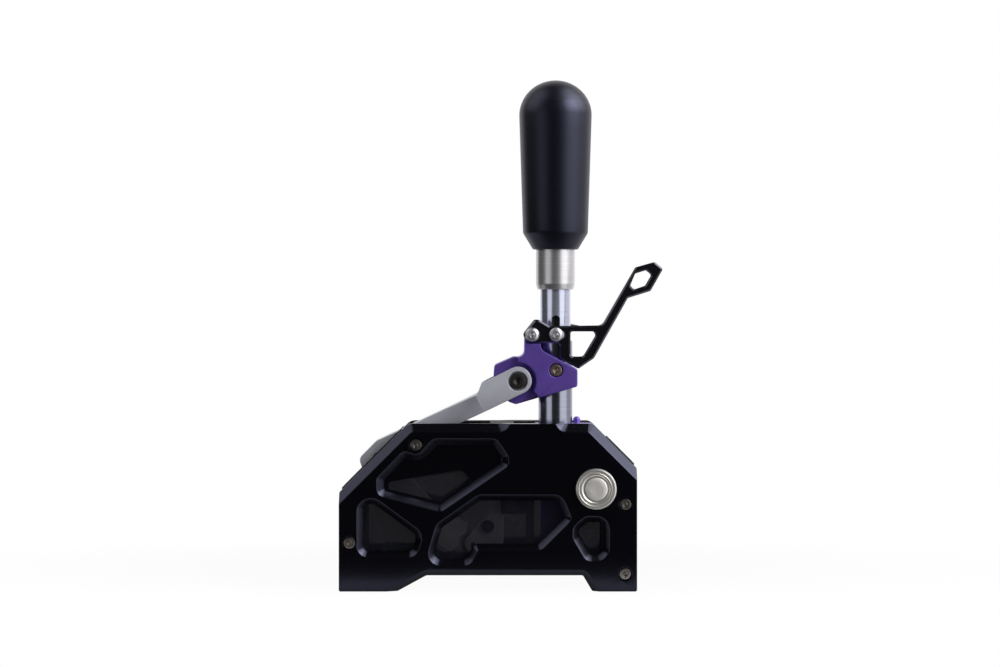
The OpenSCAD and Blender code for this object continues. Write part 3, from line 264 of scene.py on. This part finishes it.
# one shader with a group on its colour, roughness and bump; values go to the shader's own sockets
def newFinish(name, group, colour, gloss, bump, depth, values):
    finish = bpy.data.materials.new(name)
    finish.use_nodes = True
    nodes, links = finish.node_tree.nodes, finish.node_tree.links
    nodes.clear()
    shader = nodes.new("ShaderNodeBsdfPrincipled")
    for key, value in values.items():
        shader.inputs[key].default_value = value
    effect = nodes.new("ShaderNodeGroup")
    effect.node_tree = group
    effect.inputs["Low"].default_value, effect.inputs["High"].default_value = gloss
    tint = nodes.new("ShaderNodeMix")
    tint.data_type = "RGBA"
    tint.blend_type = "MULTIPLY"
    tint.inputs["Factor"].default_value = 1.0
    tint.inputs[colourA].default_value = (*colour, 1)
    rough = nodes.new("ShaderNodeBump")
    rough.inputs["Strength"].default_value = bump
    rough.inputs["Distance"].default_value = depth
    out = nodes.new("ShaderNodeOutputMaterial")
    links.new(effect.outputs["Shade"], tint.inputs[colourB])
    links.new(tint.outputs[colourResult], shader.inputs["Base Color"])
    links.new(effect.outputs["Gloss"], shader.inputs["Roughness"])
    links.new(effect.outputs["Height"], rough.inputs["Height"])
    links.new(rough.outputs[0], shader.inputs["Normal"])
    links.new(shader.outputs[0], out.inputs[0])
    return finish, effect, shader


def skinFinish(name, colour, gloss, pits=2600.0, clouds=45.0, bump=0.15, depth=0.00003, **values):
    finish, skin, _ = newFinish(name, skinGroup, colour, gloss, bump, depth, values)
    skin.inputs["Pit Scale"].default_value = pits
    skin.inputs["Cloud Scale"].default_value = clouds
    return finish


leverAxis = {"centre": (leverX, 0, 0), "turn": (0, 0, 0)}
buttonPlace = (58, 0, 55.1)
buttonAxis = {"centre": buttonPlace, "turn": (math.pi / 2, 0, 0)}  # brings the button's Y axis onto Z


def turnedFinish(name, colour, gloss, pitch, axis=leverAxis, bump=0.2, depth=0.00002, step=None, **values):
    finish, lines, shader = newFinish(name, turnedGroup, colour, gloss, bump, depth, values)
    nodes, links = finish.node_tree.nodes, finish.node_tree.links
    coord = nodes.new("ShaderNodeTexCoord")
    shift = nodes.new("ShaderNodeMapping")
    shift.inputs["Location"].default_value = [-value * mm for value in axis["centre"]]
    spin = nodes.new("ShaderNodeMapping")
    spin.inputs["Rotation"].default_value = axis["turn"]
    links.new(coord.outputs["Object"], shift.inputs["Vector"])
    links.new(shift.outputs[0], spin.inputs["Vector"])
    links.new(spin.outputs[0], lines.inputs["Vector"])
    lines.inputs["Pitch"].default_value = pitch
    if step:
        addStep(finish, shader, coord, step)
    return finish


# a tube that is polished below its step and brushed above it, where the lines scatter more light; below the
# step its colour is also darkened, a painted shade
tubeStep = {"height": (0.1335, 0.1345), "metal": (1.0, 0.76), "paintedShade": (0.55, 1.0)}


def addStep(finish, shader, coord, setup):
    tree = finish.node_tree
    split = tree.nodes.new("ShaderNodeSeparateXYZ")
    tree.links.new(coord.outputs["Object"], split.inputs[0])
    metal = rampNode(tree, split.outputs["Z"], setup["height"], setup["metal"])
    # the colour is scaled down below the step: painted shade
    paintedShade = rampNode(tree, split.outputs["Z"], setup["height"], setup["paintedShade"])
    dim = tree.nodes.new("ShaderNodeVectorMath")
    dim.operation = "SCALE"
    tree.links.new(shader.inputs["Base Color"].links[0].from_socket, dim.inputs[0])
    tree.links.new(paintedShade, dim.inputs["Scale"])
    tree.links.new(dim.outputs[0], shader.inputs["Base Color"])
    tree.links.new(metal, shader.inputs["Metallic"])


blueSheen = {"Specular Tint": (0.64, 0.66, 1.0, 1.0), "Specular IOR Level": 0.6}  # black dye, a cold gloss
coldSheen = {"Specular Tint": (0.8, 0.8, 1.0, 1.0), "Specular IOR Level": 1.0}  # brighter on chamfers
dullSheen = {"Specular IOR Level": 0.3}
screwGrain = {"pits": 1500.0, "clouds": 300.0}
paneGrain = {"pits": 400.0, "clouds": 20.0, "bump": 0.0}
blastGrain = {"pits": 1800.0, "clouds": 60.0, "bump": 0.3}
dyeGrain = {"pits": 2200.0, "clouds": 60.0, "bump": 0.25}

# colour, then the lowest and highest roughness; turned finishes add the pitch of their lines in metres
finishes = {
    "black_plate": skinFinish("blackPlate", (0.0012, 0.0012, 0.0018), (0.18, 0.25), **blueSheen),
    "smoked_window": skinFinish("smokedWindow", (0.013, 0.013, 0.022), (0.06, 0.12), Alpha=0.5, **paneGrain),
    # the same smoke made more opaque for the far panes: painted shade
    "shaded_far_window": skinFinish("shadedFarWindow", (0.013, 0.013, 0.022), (0.06, 0.12), Alpha=0.83, **paneGrain),
    "dark_alloy": skinFinish("darkAlloy", (0.03, 0.03, 0.036), (0.35, 0.45)),
    "black_cover": skinFinish("blackCover", (0.01, 0.01, 0.011), (0.5, 0.6), **dullSheen),
    "screw_steel": skinFinish("screwSteel", (0.28, 0.255, 0.24), (0.28, 0.38), Metallic=1.0, **screwGrain),
    "bright_steel": skinFinish("brightSteel", (0.7, 0.7, 0.72), (0.15, 0.25), Metallic=1.0),
    "lock_screw_steel": skinFinish("lockScrewSteel", (0.62, 0.62, 0.65), (0.36, 0.46), Metallic=1.0,
                                   **screwGrain),
    "spring_steel": skinFinish("springSteel", (0.25, 0.25, 0.26), (0.25, 0.35), Metallic=1.0),
    "silver_alloy": skinFinish("silverAlloy", (0.57, 0.58, 0.65), (0.36, 0.46), Metallic=0.25, **blastGrain),
    # a raised colour for the parts inside: painted light, standing in for the light that the smoked panes
    # keep out
    "inner_alloy": skinFinish("innerAlloyPaintedLight", (0.74, 0.7, 0.72), (0.35, 0.45), Metallic=0.2),
    "purple_alloy": skinFinish("purpleAlloy", (0.16, 0.092, 0.475), (0.34, 0.44), Metallic=0.45, **dyeGrain),
    "bush_bronze": skinFinish("bushBronze", (0.5, 0.33, 0.15), (0.3, 0.4), Metallic=1.0),
    "bracket_screw_steel": skinFinish("bracketScrewSteel", (0.36, 0.29, 0.24), (0.34, 0.44), Metallic=1.0,
                                      **screwGrain),
    "black_bolt": skinFinish("blackBolt", (0.055, 0.052, 0.05), (0.3, 0.42), Metallic=0.7, **screwGrain),
    "roller_steel": skinFinish("rollerSteel", (0.4, 0.38, 0.36), (0.25, 0.35), Metallic=1.0),
    "magnet_metal": skinFinish("magnetMetal", (0.7, 0.7, 0.72), (0.15, 0.25), Metallic=1.0),
    "tube_steel": turnedFinish("tubeSteel", (0.61, 0.635, 0.78), (0.17, 0.27), 0.0004, bump=0.1,
                               step=tubeStep),
    "collar_steel": turnedFinish("collarSteel", (0.65, 0.64, 0.66), (0.3, 0.36), 0.00035, bump=0.03,
                                 Metallic=0.85),
    "knob_black": turnedFinish("knobBlack", (0.0015, 0.0015, 0.002), (0.34, 0.44), 0.0005, bump=0.12,
                               **blueSheen),
    "lock_black": skinFinish("lockBlack", (0.001, 0.001, 0.0015), (0.2, 0.28), IOR=1.6, **coldSheen),
    "board_green": skinFinish("boardGreen", (0.02, 0.12, 0.06), (0.4, 0.5)),
    "button_steel": turnedFinish("buttonSteel", (0.8, 0.78, 0.74), (0.34, 0.44), 0.00025, buttonAxis,
                                 Metallic=0.95),
    "button_cap_steel": turnedFinish("buttonCapSteel", (0.97, 0.94, 0.92), (0.44, 0.52), 0.00018, buttonAxis,
                                     bump=0.5, Metallic=0.9),
}
print("finishes made:", len(finishes))


def addPiece(name, mesh, body, slotName, *nodes):
    piece = bpy.data.objects.new(name, mesh)
    scene.collection.objects.link(piece)
    piece.data.materials.clear()
    piece.data.materials.append(finishes[slotName])
    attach(piece, body)
    if nodes:
        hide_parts(*nodes)
    return piece


bodyOf = {node: body for body, members in frame["record"]["behaviour"]["bodies"].items() for node in members}
slotOf = {entry["node"]: entry["material_slot"] for entry in frame["record"]["subparts"]}

# lengths in metres; faces that meet at less than the sharp angle shade as one
solidSetup = {"merge": 0.000004, "flat": math.radians(0.6), "sharp": math.radians(28), "edgeSegments": 2,
              "flatWeight": 100}
spunSetup = {"merge": 0.000002, "sharp": math.radians(32), "steps": 96}


# a solid of the frame with its flat faces whole again
def solidShape(node):
    shape = bmesh.new()
    shape.from_mesh(frame["nodes"][node].data)
    bmesh.ops.remove_doubles(shape, verts=shape.verts, dist=solidSetup["merge"])
    bmesh.ops.dissolve_limit(shape, angle_limit=solidSetup["flat"], verts=shape.verts, edges=shape.edges)
    return shape


# large faces go to triangles first, because a cut along their edges would fill them wrongly
def splitLargeFaces(shape):
    bmesh.ops.triangulate(shape, faces=[face for face in shape.faces if len(face.verts) > 4])


def cutEdges(shape, lines, width, segments):
    bmesh.ops.bevel(shape, geom=lines, offset=width * mm, affect="EDGES", segments=segments, profile=0.5,
                    material=-1, clamp_overlap=False, loop_slide=False)


def finishedMesh(shape, name, sharp=math.tau):
    for face in shape.faces:
        face.smooth = True
    for line in shape.edges:
        line.smooth = line.calc_face_angle(0) < sharp
    mesh = bpy.data.meshes.new(name)
    shape.to_mesh(mesh)
    shape.free()
    return mesh


# a machined copy of a solid: merged, with broken edges that catch the light
def machined(node, edge, drilled=0):
    corners = [vert.co for vert in frame["nodes"][node].data.vertices]
    low = [min(corner[axis] for corner in corners) for axis in range(3)]
    high = [max(corner[axis] for corner in corners) for axis in range(3)]
    shape = solidShape(node)
    if drilled:  # a drill point at the bottom of each key socket
        floors = [face for face in shape.faces if len(face.verts) == 6
                  and not any(line.is_convex for line in face.edges)]
        bmesh.ops.poke(shape, faces=floors, offset=-drilled * mm, center_mode="MEAN")
    splitLargeFaces(shape)
    if edge:
        sharpLines = [line for line in shape.edges if line.calc_face_angle(0) > solidSetup["sharp"]]
        cutEdges(shape, sharpLines, edge, solidSetup["edgeSegments"])
    for vert in shape.verts:  # nothing stands out of the solid's box
        vert.co = [min(max(vert.co[axis], low[axis]), high[axis]) for axis in range(3)]
    bmesh.ops.triangulate(shape, faces=shape.faces)
    mesh = finishedMesh(shape, node + "Machined", solidSetup["sharp"])
    piece = addPiece(node + "Machined", mesh, bodyOf[node], slotOf[node], node)
    flats = piece.modifiers.new("flatFaces", "WEIGHTED_NORMAL")
    flats.weight = solidSetup["flatWeight"]
    flats.keep_sharp = True
    return piece


# edge breaks in millimetres
sideEdges = {"left_side_plate": 0.4, "right_side_plate": 0.4, "left_windows": 0, "right_windows": 0}
coverEdges = {"top_cover": 0.2, "front_cover": 0.2, "rear_cover": 0.2, "bottom_plate": 0.2,
              "front_block": 0.3, "rear_block": 0.3}
leverEdges = {"lever_tube": 0.15, "lever_socket": 0.3, "link_bracket": 0.7, "push_link": 0.5}
screwEdges = {"side_plate_screws": 0.2, "bracket_screws": 0.25, "link_bolts": 0.35,
              "lockout_pivot_screws": 0.15, "lockout_cross_pin": 0.15, "rear_cover_screws": 0.15,
              "bottom_screws": 0.2, "gate_screws": 0.1, "socket_grub_screws": 0.1, "detent_arm_bolt": 0.2}
insideEdges = {"rocker": 0.3, "detent_arm": 0.3, "detent_bracket": 0.3, "lockout_gate": 0.2,
               "detent_roller": 0.3, "link_pin": 0.2, "lockout_rod": 0.2, "gate_pin": 0.2, "roller_pin": 0.2,
               "lever_axle": 0.2,
               "rocker_axle": 0.2, "detent_axle": 0.2, "lever_bushes": 0.15, "rocker_bushes": 0.15,
               "controller_board": 0.1, "board_standoffs": 0.2, "sensor_board": 0.1, "sensor_magnet": 0.1,
               "usb_socket": 0.05, "button_nut": 0.2}
drillDepth = 0.9
for edgeSet in (sideEdges, coverEdges, leverEdges, insideEdges):
    for nodeName, edgeBreak in edgeSet.items():
        machinedPiece = machined(nodeName, edgeBreak)
        if nodeName == "right_windows":  # the far panes are made less clear than the near ones: painted shade, so that the room doesn't shine through both panes
            machinedPiece.data.materials[0] = finishes["shaded_far_window"]
for nodeName, edgeBreak in screwEdges.items():
    machined(nodeName, edgeBreak, drillDepth)
print("machined copies made")

lockoutSetup = {"lockout_lever": 0.9, "lockout_partner": 0.9}  # width of the chamfer round each face
facingSideways = 0.99  # how far a plate's face looks along Y


# a flat plate with a chamfer along the rims of its two faces
def addLockoutPlate(node, chamfer):
    shape = solidShape(node)
    splitLargeFaces(shape)
    rims = [line for line in shape.edges if line.is_convex
            and sum(abs(face.normal.y) > facingSideways for face in line.link_faces) == 1]
    cutEdges(shape, rims, chamfer, 1)
    bmesh.ops.triangulate(shape, faces=shape.faces)
    mesh = finishedMesh(shape, node + "Chamfered", solidSetup["sharp"])
    addPiece(node + "Chamfered", mesh, bodyOf[node], slotOf[node], node)


for plateName, chamferWidth in lockoutSetup.items():
    addLockoutPlate(plateName, chamferWidth)
print("lockout plates chamfered")


# a profile of (radius, height) pairs spun round an upright axis
def spunMesh(name, profile, steps=spunSetup["steps"]):
    shape = bmesh.new()
    points = [shape.verts.new((radius * mm, 0, height * mm)) for radius, height in profile]
    lines = [shape.edges.new(pair) for pair in zip(points, points[1:])]
    bmesh.ops.spin(shape, geom=points + lines, cent=(0, 0, 0), axis=(0, 0, 1), dvec=(0, 0, 0),
                   angle=2 * math.pi, steps=steps, use_merge=True, use_normal_flip=False, use_duplicate=False)
    bmesh.ops.remove_doubles(shape, verts=shape.verts, dist=spunSetup["merge"])
    bmesh.ops.recalc_face_normals(shape, faces=shape.faces)
    return finishedMesh(shape, name, spunSetup["sharp"])


# the points of a corner, given as steps from where its two sides would meet
def cornerPoints(radius, height, steps, size=1.0):
    return [(radius + size * out, height + size * up) for out, up in steps]


collarSetup = {"bottom": 162.2, "top": 184, "radius": 10.6, "taper": 0.8, "taperHeight": 2.9, "bore": 6.03,
               "boreDepth": 10.2, "spigot": 6.0, "spigotLength": 16.0, "spigotEdge": 0.5, "edge": 0.2,
               "round": 0.3, "steps": 128}


# loops close to each edge keep the tall face evenly lit
def addCollar(setup):
    low, high, edge, radius = setup["bottom"], setup["top"], setup["edge"], setup["radius"]
    foot = radius - setup["taper"]
    shoulder = low + setup["taperHeight"]
    lean = setup["taper"] / setup["taperHeight"]
    part = setup["round"]
    boreTop = low + setup["boreDepth"]
    spigotTop = high + setup["spigotLength"]
    profile = [(0, boreTop), (setup["bore"], boreTop), (setup["bore"], low)]
    profile += cornerPoints(foot, low, [(-1, 0), (-part, part), (lean, 1), (2 * lean, 2)], edge)
    profile += cornerPoints(radius, shoulder, [(-2 * lean, -2), (-lean, -1), (0, 1), (0, 2)], edge)
    profile += cornerPoints(radius, high, [(0, -2), (0, -1), (-part, -part), (-1, 0)], edge)
    profile += [(setup["spigot"], high), (setup["spigot"], spigotTop - setup["spigotEdge"]),
                (setup["spigot"] - setup["spigotEdge"], spigotTop), (0, spigotTop)]
    mesh = spunMesh("turnedCollar", profile, setup["steps"])
    mesh.transform(Matrix.Translation((leverX * mm, 0, 0)))
    addPiece("turnedCollar", mesh, "lever", "collar_steel", "knob_adapter")


addCollar(collarSetup)

# the corners are in parts of the softening
knobSetup = {"bottom": 184, "top": 276, "endRadius": 12.5, "lowRadius": 17.7, "bevel": 9, "wide": 19.75,
             "dome": 19, "soften": 0.7, "endCorner": [(-1, 0), (-0.25, 0.2), (0.35, 1)],
             "lowCorner": [(-0.5, -1), (-0.12, -0.1), (0.03, 1)], "sideParts": 8, "domeStep": 5}


def addKnob(setup):
    low, high, soft, parts = setup["bottom"], setup["top"], setup["soften"], setup["sideParts"]
    lowRadius, wide, dome = setup["lowRadius"], setup["wide"], setup["dome"]
    rise = low + setup["bevel"]
    domeFoot = high - dome
    profile = [(0, low)] + cornerPoints(setup["endRadius"], low, setup["endCorner"], soft)
    profile += cornerPoints(lowRadius, rise, setup["lowCorner"], soft)
    for part in range(1, parts):
        share = part / parts
        profile.append((lowRadius + (wide - lowRadius) * share, rise + (domeFoot - rise) * share))
    for angle in range(0, 90, setup["domeStep"]):
        turn = math.radians(angle)
        profile.append((wide * math.cos(turn), domeFoot + dome * math.sin(turn)))
    mesh = spunMesh("turnedKnob", profile + [(0, high)])
    mesh.transform(Matrix.Translation((leverX * mm, 0, 0)))
    addPiece("turnedKnob", mesh, "lever", "knob_black", "gear_knob")


addKnob(knobSetup)

# the button looks out through the left plate, so its spun profile turns onto -Y
# rings and dish are (radius, height) pairs, measured from the front of the bezel and of the cap
buttonSetup = {"face": 23, "bezel": 11, "bezelDepth": 2.2, "body": 9.5, "inside": 11.2, "bore": 6.1,
               "boreFloor": -6.0, "cap": 6.05, "capFront": 2.6, "capLength": 7,
               "neck": [(0, -0.05), (0.05, 0)], "backCorner": [(-0.2, 0), (0, 0.2)],
               "frontCorner": [(0, -0.95), (-0.28, -0.28), (-0.95, 0)],
               "rings": [(9.3, 0), (9.12, -0.1), (9.0, -0.3), (8.75, -0.3), (8.6, -0.1), (8.45, 0), (7.75, 0),
                         (7.55, -0.06), (7.1, -0.45), (6.95, -0.5)],
               "mouth": [(0.1, -0.5), (0, -0.62)],
               "capCorner": [(0, -0.5), (-0.14, -0.14), (-0.5, 0)],
               "dish": [(3.2, -0.06), (1.4, -0.1), (0, -0.12)]}


def addButton(setup):
    body, bezel, bore, depth = setup["body"], setup["bezel"], setup["bore"], setup["bezelDepth"]
    back = setup["inside"] - setup["face"]
    profile = [(0, back), (body, back)]
    profile += cornerPoints(body, 0, setup["neck"])
    profile += cornerPoints(bezel, 0, setup["backCorner"])
    profile += cornerPoints(bezel, depth, setup["frontCorner"])
    profile += cornerPoints(0, depth, setup["rings"])
    profile += cornerPoints(bore, depth, setup["mouth"])
    profile += [(bore, setup["boreFloor"]), (0, setup["boreFloor"])]
    housing = spunMesh("turnedButtonHousing", profile)
    front = setup["capFront"]
    capBack = front - setup["capLength"]
    profile = [(0, capBack), (setup["cap"], capBack)]
    profile += cornerPoints(setup["cap"], front, setup["capCorner"])
    profile += cornerPoints(0, front, setup["dish"])
    cap = spunMesh("turnedButtonCap", profile)
    place = Matrix.Translation((buttonPlace[0] * mm, -setup["face"] * mm, buttonPlace[2] * mm))
    for mesh in (housing, cap):
        mesh.transform(place @ Matrix.Rotation(math.pi / 2, 4, "X"))
    addPiece("turnedButtonHousing", housing, "frame", "button_steel", "button_housing")
    addPiece("turnedButtonCap", cap, "button", "button_cap_steel", "button_cap")


addButton(buttonSetup)
print("collar, knob and button turned")

# wound springs: a wire circle carried round and along by one helical spin
# anchors are in metres, and the other lengths in millimetres
springSetup = {
    "detentCoil": {"node": "detent_spring", "body": "frame", "radius": 5, "wire": 1.6, "length": 11.9,
                   "curls": 4, "place": (8.55, 0, 31), "turn": (math.pi / 2, "Y"), "joint": "detent_pivot",
                   "axis": (1, 0, 0), "anchor": (0.0205, 0, 0.031), "keep": 0.88},
    "lockoutCoil": {"node": "lockout_spring", "body": "lever", "radius": 3.6, "wire": 1.1, "length": 11.6,
                    "curls": 4, "place": (leverX, 0, 148.35), "turn": (0, "Y"), "joint": "lockout_slide",
                    "axis": (0, 0, 1), "anchor": (leverX * mm, 0, 0.16), "keep": 0.57},
}
wireSides, curlSteps = 12, 28


# pulls faces out into a short straight end, and gives back its new faces
def straightEnd(shape, faces, height):
    pulled = bmesh.ops.extrude_face_region(shape, geom=faces)["geom"]
    tips = [part for part in pulled if isinstance(part, bmesh.types.BMVert)]
    bmesh.ops.translate(shape, verts=tips, vec=(0, 0, height))
    return [part for part in pulled if isinstance(part, bmesh.types.BMFace)]


def addSpring(name, setup):
    wire, radius, curls = setup["wire"] * mm, setup["radius"] * mm, setup["curls"]
    rise = setup["length"] * mm - 2 * wire
    steps = curlSteps * curls
    shape = bmesh.new()
    ring = bmesh.ops.create_circle(shape, cap_ends=True, segments=wireSides, radius=wire / 2)["verts"]
    bmesh.ops.translate(shape, verts=ring, vec=(radius, 0, 0))
    start = straightEnd(shape, shape.faces[:], wire)
    wound = bmesh.ops.spin(shape, geom=start, cent=(0, 0, 0), axis=(0, 0, 1), dvec=(0, 0, rise / steps),
                           angle=2 * math.pi * curls, steps=steps, use_merge=False, use_normal_flip=False,
                           use_duplicate=False)["geom_last"]
    straightEnd(shape, [part for part in wound if isinstance(part, bmesh.types.BMFace)], wire)
    bmesh.ops.remove_doubles(shape, verts=shape.verts, dist=spunSetup["merge"])
    inner = [face for face in shape.faces if all(len(line.link_faces) > 2 for line in face.edges)]
    bmesh.ops.delete(shape, geom=inner, context="FACES")
    bmesh.ops.recalc_face_normals(shape, faces=shape.faces)
    mesh = finishedMesh(shape, name)
    angle, axis = setup["turn"]
    place = Matrix.Translation([value * mm for value in setup["place"]])
    mesh.transform(place @ Matrix.Rotation(angle, 4, axis))
    coil = addPiece(name, mesh, setup["body"], "spring_steel", setup["node"])
    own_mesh(coil)


for coilName, coilValues in springSetup.items():
    addSpring(coilName, coilValues)
print("springs wound")

# white to the camera, with the object's shadow; fades run from the middle of the floor, 0, to its rim, 1
floorSetup = {"size": (0.72, 0.34), "place": (0.0, 0.1, 0.0), "colour": (0.5, 0.5, 0.5), "fade": (0.28, 1.0),
              "glow": (0.93, 1.0), "mirrorFade": (0.7, 1.0)}


def addFloor(setup):
    shape = bmesh.new()
    bmesh.ops.create_grid(shape, x_segments=2, y_segments=2, size=0.5)
    bmesh.ops.scale(shape, verts=shape.verts, vec=(*setup["size"], 1.0))
    bmesh.ops.translate(shape, verts=shape.verts, vec=setup["place"])
    mesh = bpy.data.meshes.new("paleFloor")
    shape.to_mesh(mesh)
    shape.free()
    floor = bpy.data.objects.new("paleFloor", mesh)
    scene.collection.objects.link(floor)
    finish = bpy.data.materials.new("paleFloor")
    finish.use_nodes = True
    tree = finish.node_tree
    nodes, links = tree.nodes, tree.links
    nodes.clear()
    matt = nodes.new("ShaderNodeBsdfDiffuse")
    matt.inputs["Color"].default_value = (*setup["colour"], 1)
    glow = nodes.new("ShaderNodeEmission")
    coord = nodes.new("ShaderNodeTexCoord")
    reach = nodes.new("ShaderNodeMapping")
    reach.vector_type = "TEXTURE"
    reach.inputs["Location"].default_value = setup["place"]
    reach.inputs["Scale"].default_value = (setup["size"][0] / 2, setup["size"][1] / 2, 1.0)
    length = nodes.new("ShaderNodeVectorMath")
    length.operation = "LENGTH"
    links.new(coord.outputs["Object"], reach.inputs["Vector"])
    links.new(reach.outputs[0], length.inputs[0])
    path = nodes.new("ShaderNodeLightPath")
    seen = mathNode(tree, "MAXIMUM", path.outputs["Is Camera Ray"], path.outputs["Is Transmission Ray"])
    fade = rampNode(tree, length.outputs["Value"], setup["fade"], setup["glow"])
    shown = mathNode(tree, "MULTIPLY", seen, fade)
    rim = rampNode(tree, length.outputs["Value"], setup["mirrorFade"])  # metal shows white past the shadow
    mirrored = mathNode(tree, "MULTIPLY", path.outputs["Is Glossy Ray"], rim)
    mix = nodes.new("ShaderNodeMixShader")
    links.new(mathNode(tree, "MAXIMUM", shown, mirrored), mix.inputs[0])
    links.new(matt.outputs[0], mix.inputs[1])
    links.new(glow.outputs[0], mix.inputs[2])
    out = nodes.new("ShaderNodeOutputMaterial")
    links.new(mix.outputs[0], out.inputs[0])
    mesh.materials.append(finish)


addFloor(floorSetup)

print("scene ready")
